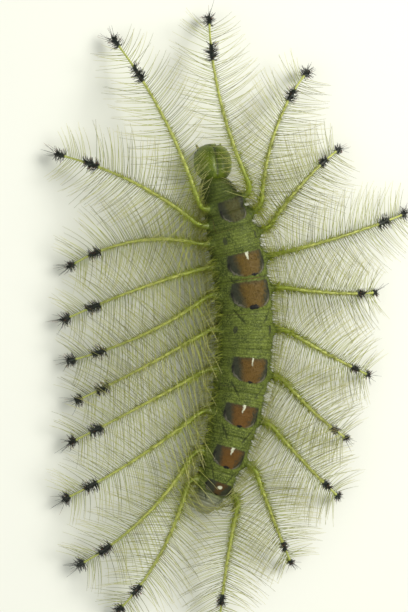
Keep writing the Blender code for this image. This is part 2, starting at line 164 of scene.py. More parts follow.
# %% Sizes of the segments
# Segments from front to back: length, half width, height of the back, height of the
# belly, and the degrees by which the axis turns along it. All in millimetres.
SEGMENTS = (
    ("prothorax", 1.75, 1.95, 4.6, 1.35, -7.5),
    ("mesothorax", 1.6, 2.35, 5.2, 1.30, 2.5),
    ("metathorax", 1.7, 2.60, 5.6, 1.25, 3.0),
    ("abdomen_1", 2.65, 2.85, 5.95, 1.15, 3.5),
    ("abdomen_2", 3.1, 3.00, 6.2, 1.10, 4.0),
    ("abdomen_3", 3.4, 3.10, 6.35, 1.10, 5.0),
    ("abdomen_4", 4.1, 3.15, 6.4, 1.10, 7.0),
    ("abdomen_5", 4.7, 3.05, 6.25, 1.10, 6.0),
    ("abdomen_6", 4.8, 2.80, 5.85, 1.10, 5.0),
    ("abdomen_7", 4.0, 2.45, 5.2, 1.10, 4.5),
    ("abdomen_8", 2.5, 2.05, 4.4, 1.10, 4.5),
    ("abdomen_9", 1.0, 1.65, 3.7, 1.10, 2.5),
    ("abdomen_10", 1.4, 1.25, 3.2, 1.10, 2.0),
)
NAMES = [segment[0] for segment in SEGMENTS]
LENGTHS = [segment[1] for segment in SEGMENTS]
FRONT_HEADING = 14.0
FRONT_SIZE = (1.70, 4.3, 1.35)
TAIL_SIZE = (0.75, 2.7, 1.10)
WIDEST_SHARE = 0.40
BELLY_POWER = 2.6
GAP = 0.3
# Degrees by which the head turns right of the prothorax, and how far ahead it starts.
HEAD_TURN = 10
HEAD_ROOM = 0.35


def mix(a, b, share):
    return a + (b - a) * share


def ease(share):
    share = min(max(share, 0.0), 1.0)
    return share * share * (3 - 2 * share)


def forward(heading):
    """Unit vector towards the head, for a heading in degrees to the left of +Y."""
    angle = math.radians(heading)
    return Vector((-math.sin(angle), math.cos(angle), 0))


def rightward(heading):
    angle = math.radians(heading)
    return Vector((math.cos(angle), math.sin(angle), 0))


def beside(spot, heading, right, ahead, up):
    """Point to the right of, ahead of and above a plan point, for a heading."""
    return spot + rightward(heading) * right + forward(heading) * ahead + Vector((0, 0, up))


def walk_axis(start, steps=20):
    """Follow the body from front to back and return each segment's plan points."""
    point = start.copy()
    heading = FRONT_HEADING
    axis = {}
    for name, length, _, _, _, turn in SEGMENTS:
        points = [(point.copy(), heading)]
        for _ in range(steps):
            point = point - forward(heading - turn / steps / 2) * (length / steps)
            heading -= turn / steps
            points.append((point.copy(), heading))
        axis[name] = points
    return axis


def on_axis(name, share):
    """Plan point and heading at a share of a segment's length."""
    points = axis[name]
    place = min(max(share, 0.0), 1.0) * (len(points) - 1)
    index = min(int(place), len(points) - 2)
    (here, here_heading), (there, there_heading) = points[index], points[index + 1]
    return here.lerp(there, place - index), mix(here_heading, there_heading, place - index)


def girth(name, share):
    """Half width, back height and belly height at a share of a segment's length."""
    index = NAMES.index(name)
    mine = SEGMENTS[index][2:5]
    if share < 0.5:
        if index == 0:
            other = FRONT_SIZE
            blend = (0.5 - share) * 2
        else:
            other = SEGMENTS[index - 1][2:5]
            blend = (0.5 - share) * 2 * LENGTHS[index] / (LENGTHS[index] + LENGTHS[index - 1])
    elif index == len(SEGMENTS) - 1:
        other = TAIL_SIZE
        blend = ((share - 0.5) * 2) ** 2
    else:
        other = SEGMENTS[index + 1][2:5]
        blend = (share - 0.5) * 2 * LENGTHS[index] / (LENGTHS[index] + LENGTHS[index + 1])
    return [mix(one, two, blend) for one, two in zip(mine, other)]


def section(name, share):
    """Half width, widest height, rise above it and drop below it."""
    width, top, belly = girth(name, share)
    middle = belly + WIDEST_SHARE * (top - belly)
    return width, middle, top - middle, middle - belly


def ring_point(size, angle):
    """Distance to the side and height on a section, the angle counted up from the right."""
    width, middle, rise, drop = size
    across, height = math.cos(angle), math.sin(angle)
    if height >= 0:
        return across * width, middle + height * rise
    power = 2 / BELLY_POWER
    return math.copysign(abs(across) ** power, across) * width, middle - abs(height) ** power * drop


# %% Where the body lies in the frame
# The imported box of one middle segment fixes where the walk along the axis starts.
KEY_SEGMENT = "abdomen_4"
CAD_CREASE = 0.06
CAD_SIDES = 16
CAD_RINGS = (0.0, 0.10, 0.32, 0.68, 0.90, 1.0)


def key_points():
    """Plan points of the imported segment's rings, for a walk that starts at zero."""
    edge = GAP / 2 / LENGTHS[NAMES.index(KEY_SEGMENT)]
    points = []
    for share in CAD_RINGS:
        place = mix(edge, 1 - edge, share)
        bulge = 1 - CAD_CREASE * abs(2 * place - 1) ** 4
        size = [value * bulge for value in section(KEY_SEGMENT, place)]
        spot, heading = on_axis(KEY_SEGMENT, place)
        for side in range(CAD_SIDES):
            across, _ = ring_point(size, 2 * math.pi * side / CAD_SIDES)
            points.append(spot + rightward(heading) * across)
    return points


axis = walk_axis(Vector())
low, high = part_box(KEY_SEGMENT)
own = key_points()
START = Vector([
    (low[side] + high[side]) / 2 / MM
    - (min(point[side] for point in own) + max(point[side] for point in own)) / 2
    for side in (0, 1)
] + [0])
axis = walk_axis(START)
print("the walk starts at", [round(value, 3) for value in START], "mm")

# %% [markdown]
# ## Helpers for node trees
#
# Shader and Geometry Nodes trees are long to build by hand. One small class wraps an
# output socket, and its operators add the Math or Vector Math node that they stand for,
# so that a mask reads as a sum. Every other node comes from one method.

# %% The Wire class
class Wire:
    """An output of a node. Arithmetic on it adds the nodes that work it out."""

    def __init__(self, tree, socket):
        self.tree = tree
        self.socket = socket

    @classmethod
    def node(cls, tree, kind, settings=None, inputs=None, output=0):
        """Add a node, set its settings first, then its inputs to values or links."""
        made = tree.nodes.new(kind)
        for name, value in (settings or {}).items():
            setattr(made, name, value)
        for name, value in (inputs or {}).items():
            socket = find_socket(made.inputs, name)
            if isinstance(value, Wire):
                tree.links.new(value.socket, socket)
            else:
                socket.default_value = value
        return cls(tree, find_socket(made.outputs, output))

    def joined(self, operation, *others):
        """This value and others through a Math node, or Vector Math if one is a vector."""
        values = [self, *others]
        wires = [value for value in values if isinstance(value, Wire)]
        if any(wire.socket.type in ("VECTOR", "RGBA") for wire in wires):
            kind, label = "ShaderNodeVectorMath", "Vector"
        else:
            kind, label = "ShaderNodeMath", "Value"
        inputs = dict(zip((label, label + "_001", label + "_002"), values))
        return Wire.node(self.tree, kind, {"operation": operation}, inputs)

    def __add__(self, other):
        return self.joined("ADD", other)

    __radd__ = __add__

    def __sub__(self, other):
        return self.joined("SUBTRACT", other)

    def __rsub__(self, other):
        return self * -1 + other

    def __mul__(self, other):
        """A vector times a number scales it, and anything else multiplies in place."""
        if self.socket.type == "VECTOR" and not is_vector(other):
            inputs = {"Vector": self, "Scale": other}
            return Wire.node(self.tree, "ShaderNodeVectorMath", {"operation": "SCALE"}, inputs)
        return self.joined("MULTIPLY", other)

    __rmul__ = __mul__

    def __truediv__(self, other):
        return self.joined("DIVIDE", other)

    def __pow__(self, other):
        return self.joined("POWER", other)

    def number(self):
        """The single number that a Vector Math node such as a dot product gives."""
        return Wire(self.tree, self.socket.node.outputs["Value"])

    def size(self):
        return self.joined("ABSOLUTE")

    def least(self, other):
        return self.joined("MINIMUM", other)

    def most(self, other):
        return self.joined("MAXIMUM", other)

    def step(self, low, high):
        """Smooth step from 0 at low to 1 at high, or the other way if low is higher."""
        flip = low > high
        inputs = {"Value": self, "From Min": min(low, high), "From Max": max(low, high)}
        inputs.update({"To Min": float(flip), "To Max": float(not flip)})
        return Wire.node(self.tree, "ShaderNodeMapRange", {"interpolation_type": "SMOOTHSTEP"}, inputs)

    def parts(self):
        """X, Y and Z of a vector."""
        split = Wire.node(self.tree, "ShaderNodeSeparateXYZ", inputs={"Vector": self}).socket.node
        return [Wire(self.tree, socket) for socket in split.outputs]


def is_vector(value):
    if isinstance(value, Wire):
        return value.socket.type == "VECTOR"
    return isinstance(value, (tuple, Vector))


def find_socket(sockets, key):
    """A socket by its number, its identifier or its name."""
    if isinstance(key, int):
        return sockets[key]
    for socket in sockets:
        if socket.identifier == key:
            return socket
    return sockets[key]


# %% Helpers for materials
def colour(red, green, blue):
    """Linear colour of the 8-bit values that a screen shows."""
    linear = []
    for value in (red, green, blue):
        value /= 255
        linear.append(value / 12.92 if value <= 0.04045 else ((value + 0.055) / 1.055) ** 2.4)
    return tuple(linear)


def blend(factor, first, second):
    """Mix two colours, each a wire or a tuple, by a wire."""
    inputs = {"Factor_Float": factor}
    for name, value in (("A_Color", first), ("B_Color", second)):
        inputs[name] = value if isinstance(value, Wire) else (*value, 1)
    return Wire.node(factor.tree, "ShaderNodeMix", {"data_type": "RGBA"}, inputs, "Result_Color")


def new_material(name, roughness, **constants):
    """A Principled material with its constant sockets set, and its tree."""
    made = bpy.data.materials.new(name)
    made.use_nodes = True
    shader = made.node_tree.nodes["Principled BSDF"]
    shader.inputs["Roughness"].default_value = roughness
    for label, value in constants.items():
        shader.inputs[label.replace("_", " ")].default_value = value
    return made, made.node_tree, shader


def feed(shader, label, wire):
    wire.tree.links.new(wire.socket, shader.inputs[label])


def attribute(tree, name, output="Vector"):
    return Wire.node(tree, "ShaderNodeAttribute", {"attribute_name": name}, output=output)


def speckle(tree, size, detail=2.0):
    """Noise of about a given grain in millimetres, over the object's own coordinates."""
    place = Wire.node(tree, "ShaderNodeTexCoord", output="Object")
    inputs = {"Vector": place, "Scale": 1 / (size * MM), "Detail": detail}
    return Wire.node(tree, "ShaderNodeTexNoise", inputs=inputs)


def cells(tree, size):
    """Distance from the middles of cells of about a given size in millimetres."""
    place = Wire.node(tree, "ShaderNodeTexCoord", output="Object")
    inputs = {"Vector": place, "Scale": 1 / (size * MM)}
    return Wire.node(tree, "ShaderNodeTexVoronoi", inputs=inputs, output="Distance")


def add_bump(shader, height, depth):
    """Raise the surface by a height map, whose full range is worth depth millimetres."""
    inputs = {"Height": height, "Distance": depth * MM, "Strength": 1.0}
    feed(shader, "Normal", Wire.node(height.tree, "ShaderNodeBump", inputs=inputs))


# %% [markdown]
# ## Skin
#
# The real skin is soft and grainy. It folds at each joint between segments, has fine
# pleats across the back between the dark patches, two slanting folds that run from each
# patch to the next, and a fleshy ridge low on each flank. Each spine stands on a small
# cone. A loft of about five hundred rings is fine enough to carry the folds as shape.
# The prolegs are lofts too and are joined by a Boolean, so that one skin covers all.

# %% Sizes of the skin
COAT = 0.10
RING_STEP = 0.085
SKIN_SIDES = 132
SEAM_DEPTH = 0.15
SEAM_WIDTH = 0.14
PLEAT_DEPTH = 0.055
PLEAT_WIDTH = 0.07
PLEAT_STEP = 0.34
SLANT_DEPTH = 0.12
SLANT_WIDTH = 0.10
RIDGE_ANGLE = -24
RIDGE_HEIGHT = 0.16
CONE_HEIGHT = 0.62
CONE_RADIUS = 1.0
NECK_LENGTH = 0.75
NECK_SIZE = (1.15, 2.7, 1.1, 1.05)

# Dark patches of the back: segment, share along it, half length in mm, turn of its middle
# and half angle round the back in degrees, redness, half width of the white wedge, of the
# black dot at the back edge and radius of the white spot, all three in mm. The larva is
# twisted a little to its right in front, so there the middles lie off the top.
PATCHES = (
    ("metathorax", 0.02, 1.20, 9, 40, -0.4, 0.0, 0.0, 0.0),
    ("abdomen_2", 0.50, 1.23, 5, 47, 0.10, 0.20, 0.46, 0.0),
    ("abdomen_3", 0.50, 1.40, 5, 48, 0.15, 0.0, 0.66, 0.0),
    ("abdomen_5", 0.48, 1.30, 3, 44, 0.40, 0.10, 0.34, 0.0),
    ("abdomen_6", 0.52, 1.15, 0, 45, 0.75, 0.18, 0.36, 0.0),
    ("abdomen_7", 0.58, 1.10, 0, 47, 0.80, 0.18, 0.40, 0.0),
    ("abdomen_8", 0.70, 0.68, 9, 52, 1.00, 0.0, 0.25, 0.26),
)
# Segments that have only the pair of dark spots beside the back.
PLAIN = ("abdomen_1", "abdomen_4")
# How far right of the patch's middle its black dot lies, in mm.
DOT_SHIFTS = {"abdomen_2": 0.5}

SPINE_SEATS = {
    "mesothorax": (0.40, 34, 28),
    "metathorax": (0.50, 20, 18),
    "abdomen_1": (0.45, 14, 10),
    "abdomen_2": (0.40, 12, 4),
    "abdomen_3": (0.40, 12, 0),
    "abdomen_4": (0.50, 12, 0),
    "abdomen_5": (0.55, 12, -4),
    "abdomen_6": (0.55, 12, -8),
    "abdomen_7": (0.60, 14, -18),
    "abdomen_8": (0.70, 18, -30),
}

# %% The body as arrays
# One row for each ring: how far along, plan point, heading and the four section sizes.
segment_starts = np.concatenate([[0], np.cumsum(LENGTHS)])
BODY_LENGTH = float(segment_starts[-1])


def station(along):
    """Segment and share of its length at a distance along the body."""
    index = int(np.clip(np.searchsorted(segment_starts, along, side="right") - 1, 0, len(NAMES) - 1))
    return NAMES[index], (along - segment_starts[index]) / LENGTHS[index]


def along_of(name, share):
    index = NAMES.index(name)
    return float(segment_starts[index] + share * LENGTHS[index])


def ring_rows(distances):
    """Plan point, heading and section sizes at each distance along the body."""
    rows = []
    for along in distances:
        name, share = station(along)
        spot, heading = on_axis(name, share)
        rows.append([along, spot.x, spot.y, math.radians(heading), *section(name, share)])
    return np.array(rows)


BODY_ROWS = ring_rows(np.linspace(0, BODY_LENGTH, 800))


def body_places(points):
    """Distance along the body, distance to the side, height and sizes for points in mm."""
    points = np.asarray(points, dtype=float)
    nearest = np.empty(len(points), dtype=int)
    for start in range(0, len(points), 4000):
        chunk = points[start:start + 4000, None, :2] - BODY_ROWS[None, :, 1:3]
        nearest[start:start + 4000] = (chunk ** 2).sum(2).argmin(1)
    rows = BODY_ROWS[nearest]
    away = points[:, :2] - rows[:, 1:3]
    across = away[:, 0] * np.cos(rows[:, 3]) + away[:, 1] * np.sin(rows[:, 3])
    ahead = -away[:, 0] * np.sin(rows[:, 3]) + away[:, 1] * np.cos(rows[:, 3])
    return rows[:, 0] - ahead, across, points[:, 2], rows


def inside_body(points, room=0.0):
    """Which points lie within the body's tube, made wider by some room."""
    along, across, height, rows = body_places(points)
    width, middle, rise, drop = rows[:, 4:8].T
    up = height - middle
    reach = np.where(up > 0, rise, drop) + room
    inner = (across / (width + room)) ** 2 + (up / reach) ** 2 < 1
    return inner & (along > -room) & (along < BODY_LENGTH + room)


print("body", round(BODY_LENGTH, 2), "mm long from neck to tail")

# %% Folds of the skin
rng = random.Random(4)


def pleat_places():
    """Distances along the body of the fine pleats, evenly spaced with some play."""
    places = []
    for start, length in zip(segment_starts, LENGTHS):
        count = max(2, round(length / PLEAT_STEP))
        for index in range(1, count):
            places.append(start + (index + rng.uniform(-0.18, 0.18)) * length / count)
    return np.array(places)


def groove(distance, width):
    return np.exp(-(distance / width) ** 2)


def patch_shade(along, turn):
    """1 on a dark patch of the back, 0 off it, from the same sizes as its colours."""
    shade = np.zeros_like(along)
    for name, share, half, centre, angle, *_ in PATCHES:
        ahead = (along_of(name, share) - along) / half
        aside = np.abs(turn - math.radians(centre)) / math.radians(angle)
        inner = np.clip(1.15 - np.maximum(np.abs(ahead), aside), 0, 0.15) / 0.15
        shade = np.maximum(shade, inner)
    return shade


def slant_shade(along, turn):
    """Two slanting folds from the back corners of each patch in to the next segment."""
    shade = np.zeros_like(along)
    for name, share, half, centre, angle, *_ in PATCHES[1:]:
        start = along_of(name, share) + half * 0.95
        length = 1.9 if LENGTHS[NAMES.index(name)] > 3 else 1.2
        way = np.clip((along - start) / length, 0, 1)
        wanted = np.radians(angle) * (1.0 - 0.62 * way)
        off = (np.abs(turn - math.radians(centre)) - wanted) * 2.6
        ends = np.clip((along - start) / 0.3, 0, 1) * np.clip((start + length - along) / 0.4, 0, 1)
        shade = np.maximum(shade, groove(off, SLANT_WIDTH) * ends)
    return shade


def skin_height(along, turn):
    """How far the skin stands out from its tube, for an angle counted from the top."""
    seams = np.abs(along[..., None] - segment_starts[1:-1]).min(-1)
    back = np.clip(1.6 - np.abs(turn), 0, 0.5) / 0.5
    belly = np.clip(np.abs(turn) - 2.3, 0, 0.4) / 0.4
    height = -SEAM_DEPTH * groove(seams, SEAM_WIDTH) * (1 - 0.5 * belly)
    pleats = np.abs(along[..., None] - PLEATS).min(-1)
    bare = 1 - patch_shade(along, turn)
    height -= PLEAT_DEPTH * groove(pleats, PLEAT_WIDTH) * (0.35 + 0.65 * back) * bare * (1 - belly)
    height -= SLANT_DEPTH * slant_shade(along, turn)
    ridge = (np.pi / 2 - np.abs(turn) - math.radians(RIDGE_ANGLE)) * 2.6
    height += RIDGE_HEIGHT * groove(ridge, 0.55) * (1 - 0.8 * groove(seams, 0.5))
    return height


PLEATS = pleat_places()
print(len(PLEATS), "fine pleats")

# %% Loft the skin
def skin_stations():
    """Distances of the rings along the body, evenly spaced."""
    count = round(BODY_LENGTH / RING_STEP)
    return np.linspace(0, BODY_LENGTH, count + 1)


def neck_rows(steps=9):
    """Rings of the soft neck, which narrows and turns from the prothorax into the head."""
    spot, heading = on_axis(NAMES[0], 0.0)
    wide = section(NAMES[0], 0.0)
    rows = []
    for step in range(steps, 0, -1):
        share = step / steps
        turn = heading - HEAD_TURN * share
        point = spot + forward((heading + turn) / 2) * (NECK_LENGTH * share)
        sizes = [mix(one, two, 1 - (1 - share) ** 2) for one, two in zip(wide, NECK_SIZE)]
        rows.append([-NECK_LENGTH * share, point.x, point.y, math.radians(turn), *sizes])
    return np.array(rows)


def end_taper(along):
    """Share of the full section near the rounded back end."""
    back = np.clip((BODY_LENGTH - along) / 0.9, 0, 1)
    return np.sqrt(1 - (1 - back) ** 2).clip(0.05, 1)


def cone_lift(points, foot, outward):
    """Lift towards a spine's foot, as a low cone with a soft edge."""
    away = points - np.array(foot)
    level = away - np.outer(away @ np.array(outward), np.array(outward))
    share = np.clip(1 - np.linalg.norm(level, axis=1) / CONE_RADIUS, 0, 1)
    near = np.linalg.norm(away, axis=1) < 2.2 * CONE_RADIUS
    return CONE_HEIGHT * share ** 2 * (3 - 2 * share) * near


def seat_of(name, side):
    """Point on the skin under a spine and the direction square to the skin there."""
    share, lift, _ = SPINE_SEATS[name]
    width, middle, rise, _ = cad_section(name, share)
    spot, heading = on_axis(name, share)
    angle = math.radians(lift)
    out = rightward(heading) * (SIDES[side] * math.cos(angle) / width)
    out = (out + Vector((0, 0, math.sin(angle) / rise))).normalized()
    foot = spot + rightward(heading) * (SIDES[side] * width * math.cos(angle))
    return foot + Vector((0, 0, middle + rise * math.sin(angle))), out


def cad_section(name, share):
    """Section with the crease of the solids, which the spines' feet are measured from."""
    width, middle, rise, drop = section(name, share)
    bulge = 1 - CAD_CREASE * abs(2 * share - 1) ** 4
    return width * bulge, middle, rise * bulge, drop * bulge


def skin_points():
    """Rings of points of the skin, from neck to tail."""
    rows = np.concatenate([neck_rows(), ring_rows(skin_stations())])
    turns = np.linspace(0, 2 * np.pi, SKIN_SIDES, endpoint=False)
    along = np.repeat(rows[:, :1], SKIN_SIDES, 1)
    width, middle, rise, drop = [rows[:, index:index + 1] for index in (4, 5, 6, 7)]
    up = np.sin(turns)[None, :]
    side = np.cos(turns)[None, :]
    power = 2 / BELLY_POWER
    low_side = np.sign(side) * np.abs(side) ** power
    across = np.where(up >= 0, side, low_side) * width
    height = np.where(up >= 0, up * rise, -np.abs(up) ** power * drop)
    out = np.stack([side / width, up / np.where(up >= 0, rise, drop)], -1)
    out /= np.linalg.norm(out, axis=-1, keepdims=True)
    from_top = np.arctan2(side * width, up * np.where(up >= 0, rise, drop))
    lift = skin_height(along, from_top) - COAT
    across = across + out[..., 0] * lift
    height = height + out[..., 1] * lift
    taper = end_taper(along)
    across *= taper
    height = middle + height * taper
    x = rows[:, 1:2] + across * np.cos(rows[:, 3:4])
    y = rows[:, 2:3] + across * np.sin(rows[:, 3:4])
    return np.stack([x, y, height], -1)


def closed_loft(name, rings):
    """Closed mesh through rings of points in mm, each end closed to its middle point."""
    rings = np.asarray(rings, dtype=float)
    count, sides, _ = rings.shape
    points = np.concatenate([rings.reshape(-1, 3), rings[:1].mean(1), rings[-1:].mean(1)])
    faces = []
    for ring in range(count - 1):
        for side in range(sides):
            after = (side + 1) % sides
            first = ring * sides
            faces.append((first + side, first + after, first + sides + after, first + sides + side))
    last = (count - 1) * sides
    for side in range(sides):
        after = (side + 1) % sides
        faces.append((after, side, count * sides))
        faces.append((last + side, last + after, count * sides + 1))
    mesh = bpy.data.meshes.new(name)
    mesh.from_pydata((points * MM).tolist(), [], faces)
    shape = bmesh.new()
    shape.from_mesh(mesh)
    bmesh.ops.recalc_face_normals(shape, faces=shape.faces)
    shape.to_mesh(mesh)
    shape.free()
    mesh.shade_smooth()
    return mesh


def raise_cones(points):
    """Lift the skin round the foot of each spine."""
    flat = points.reshape(-1, 3)
    for name in SPINE_SEATS:
        for side in SIDES:
            foot, out = seat_of(name, side)
            flat = flat + np.outer(cone_lift(flat, foot, out), np.array(out))
    return flat.reshape(points.shape)


def roughen(points, size=0.9, depth=0.035):
    """Soft unevenness of living skin."""
    flat = points.reshape(-1, 3)
    lifts = [noise.noise(Vector(point) / size) * depth for point in flat]
    rows = body_places(flat)[3]
    middle = np.stack([rows[:, 1], rows[:, 2], rows[:, 5]], -1)
    out = flat - middle
    out /= np.linalg.norm(out, axis=1, keepdims=True) + 1e-9
    return (flat + out * np.array(lifts)[:, None]).reshape(points.shape)


skin_rings = roughen(raise_cones(skin_points()))
body_skin = add_object("body_skin", closed_loft("body_skin", skin_rings))
print("skin", len(body_skin.data.polygons), "faces before the prolegs are joined")

# %% [markdown]
# ## Prolegs
#
# Five pairs of soft legs without joints carry the abdomen. Each is a fleshy stump with
# two or three folds, and widens to a flat sole edged with tiny brown hooks. They are lofted
# from a few radii, sunk into the body, and joined to the skin.

# %% Loft and join the prolegs
# Each proleg: segment, share along it, distance from the midline, sole radius.
PROLEGS = (
    ("abdomen_3", 0.5, 1.35, 0.62),
    ("abdomen_4", 0.5, 1.38, 0.64),
    ("abdomen_5", 0.5, 1.35, 0.64),
    ("abdomen_6", 0.5, 1.25, 0.60),
    ("abdomen_10", 0.45, 0.72, 0.46),
)
# Share of the way down, from inside the body to the floor, and share of the sole radius.
PROLEG_SHAPE = (
    (-0.55, 1.18), (-0.2, 1.20), (0.0, 1.14), (0.16, 0.98), (0.24, 0.95), (0.34, 1.02), (0.44, 0.99),
    (0.52, 0.90), (0.60, 0.95), (0.70, 0.97), (0.78, 0.90), (0.85, 0.98), (0.92, 1.04), (0.97, 1.02),
    (0.995, 0.93), (1.0, 0.80),
)
PROLEG_SIDES = 40


def proleg_mesh(name, share, offset, radius, sign):
    spot, heading = on_axis(name, share)
    belly = girth(name, share)[2]
    rings = []
    for fall, swell in PROLEG_SHAPE:
        ring = []
        for corner in range(PROLEG_SIDES):
            angle = 2 * math.pi * corner / PROLEG_SIDES
            wave = 1 + 0.025 * math.sin(angle * 5 + fall * 9) * (fall < 0.9)
            reach = radius * swell * wave
            out = sign * offset + reach * math.cos(angle)
            ahead = reach * 1.06 * math.sin(angle)
            height = max(belly * (1 - fall), 0.0)
            ring.append(beside(spot, heading, out, ahead, height))
        rings.append(ring)
    return closed_loft("proleg", rings)


def join_pieces(base, meshes):
    """Fuse closed meshes into an object by one Boolean union on a collection."""
    group = bpy.data.collections.new(base.name + "_pieces")
    bpy.context.scene.collection.children.link(group)
    for mesh in meshes:
        group.objects.link(bpy.data.objects.new("joined", mesh))
    union = base.modifiers.new("join", "BOOLEAN")
    union.operation = "UNION"
    union.operand_type = "COLLECTION"
    union.collection = group
    union.solver = "EXACT"
    bpy.context.view_layer.update()
    mesh = bpy.data.meshes.new_from_object(base.evaluated_get(bpy.context.evaluated_depsgraph_get()))
    base.modifiers.remove(union)
    base.data = mesh
    for piece in list(group.objects):
        bpy.data.objects.remove(piece)
    bpy.data.collections.remove(group)


join_pieces(body_skin, [
    proleg_mesh(name, share, offset, radius, sign)
    for name, share, offset, radius in PROLEGS for sign in SIDES.values()
])
print("skin", len(body_skin.data.polygons), "faces with the prolegs")

# %% [markdown]
# ## Colours of the skin
#
# The markings follow the body, so each point of the skin gets its own place on the
# pattern: how far it is from the middle of the nearest dark patch, counted in half
# patches. The shader then draws every patch by the same few sums. These places are kept
# as attributes of the mesh, which interpolate smoothly and stay sharp when close.

# %% Places on the pattern
def write_attribute(mesh, name, values):
    """Store a vector or a number for each point of a mesh."""
    values = np.asarray(values, dtype=np.float32)
    kind, key = ("FLOAT_VECTOR", "vector") if values.ndim == 2 else ("FLOAT", "value")
    layer = mesh.attributes.new(name, kind, "POINT")
    layer.data.foreach_set(key, values.ravel())


def mesh_points(mesh):
    """Points of a mesh in millimetres."""
    points = np.empty(len(mesh.vertices) * 3)
    mesh.vertices.foreach_get("co", points)
    return points.reshape(-1, 3) / MM


def pattern_places(points):
    """Vectors that say where points are on the pattern, and which marks it has there."""
    along, across, height, rows = body_places(points)
    turn = np.arctan2(across, (height - rows[:, 5]) * rows[:, 4] / rows[:, 6])
    patch = np.full((len(points), 3), 3.0)
    marks = np.zeros((len(points), 3))
    nearest = np.full(len(points), 9.0)
    shifts = np.zeros(len(points))
    for name, share, half, centre, angle, red, wedge, dot, spot in PATCHES:
        ahead = (along_of(name, share) - along) / half
        aside = (turn - math.radians(centre)) / math.radians(angle)
        away = np.abs(along_of(name, share) - along) - half
        here = (away < nearest) & (away < 0.7) & (np.abs(aside) < 1.6)
        nearest[here] = away[here]
        patch[here] = np.stack([aside, ahead, np.full_like(along, red)], -1)[here]
        width = section(name, share)[0] * math.radians(angle)
        marks[here] = (wedge / width, dot / width, spot / width)
        shifts[here] = DOT_SHIFTS.get(name, 0.0) / width
    spots = np.full((len(points), 3), 3.0)
    spots[:, 2] = shifts
    for name in PLAIN:
        ahead = (along_of(name, 0.5) - along) / 0.48
        aside = (np.abs(turn - math.radians(5)) - math.radians(41)) / 0.10
        here = (np.abs(ahead) < 2) & (np.abs(aside) < 3)
        spots[here] = np.stack([aside, ahead, np.zeros_like(along)], -1)[here]
    return along, turn, patch, marks, spots


def mark_skin(mesh):
    points = mesh_points(mesh)
    along, turn, patch, marks, spots = pattern_places(points)
    write_attribute(mesh, "patch", patch)
    write_attribute(mesh, "marks", marks)
    write_attribute(mesh, "spots", spots)
    seams = np.abs(along[:, None] - segment_starts[1:-1]).min(1)
    pleats = np.abs(along[:, None] - PLEATS).min(1)
    on_back = np.clip(1.5 - np.abs(turn), 0, 0.4) / 0.4
    # Where the skin folds; the skin and pile materials darken these places as painted shade.
    folds = np.maximum(groove(seams, 0.10) * 0.55, np.minimum(slant_shade(along, turn) * 1.3, 1))
    folds = np.maximum(folds, groove(pleats, 0.06) * 0.5 * on_back * (1 - patch_shade(along, turn)))
    write_attribute(mesh, "folds", folds * (points[:, 2] > 1.3))
    write_attribute(mesh, "flank", np.stack([along, turn, points[:, 2]], -1))
    cone = np.zeros(len(points))
    for name in SPINE_SEATS:
        for side in SIDES:
            cone = np.maximum(cone, cone_lift(points, *seat_of(name, side)) / CONE_HEIGHT)
    write_attribute(mesh, "cone", cone)


mark_skin(body_skin.data)
print("pattern places written on", len(body_skin.data.vertices), "points")

# %% Skin material
GREEN = colour(98, 112, 34)
GREEN_DARK = colour(62, 76, 18)
GREEN_PALE = colour(132, 144, 66)
BROWN = colour(96, 76, 12)
MAROON = colour(100, 68, 14)
DEEP = colour(84, 60, 22)
SMOKE = colour(66, 70, 26)
SLATE = colour(50, 53, 36)
LAVENDER = colour(118, 114, 98)
WHITE = colour(204, 206, 180)
BLACK = colour(10, 11, 8)


def shaded_ends(tree, ground, tail):
    """A darker green towards the head and a pale tail, by the distance along the body."""
    along = attribute(tree, "flank").parts()[0]
    ground = blend(along.step(8.0, 1.5) * 0.65, ground, GREEN_DARK)
    return blend(along.step(33.8, 35.4) * 0.85, ground, tail)


def green_ground(tree):
    """Grainy green with paler grains, darkened in the folds as painted shade, and paler under the belly.
    """
    broad = speckle(tree, 0.9, 3.0)
    grain = speckle(tree, 0.16, 2.0)
    fine = speckle(tree, 0.07, 1.0)
    ground = blend(broad.step(0.35, 0.65), GREEN_DARK, GREEN)
    ground = blend(grain.step(0.42, 0.66) * 0.7, ground, GREEN_PALE)
    ground = blend(fine.step(0.58, 0.72) * 0.5, ground, GREEN_PALE)
    height = attribute(tree, "flank").parts()[2]
    ground = blend(height.step(2.6, 1.2) * 0.6, ground, colour(128, 142, 80))
    ground = shaded_ends(tree, ground, colour(168, 170, 150))
    ground = blend(attribute(tree, "cone", "Fac").step(0.25, 0.9) * 0.8, ground, colour(92, 110, 26))
    # Painted shade in the folds of the skin.
    return blend(attribute(tree, "folds", "Fac") * 0.8, ground, colour(30, 38, 16))


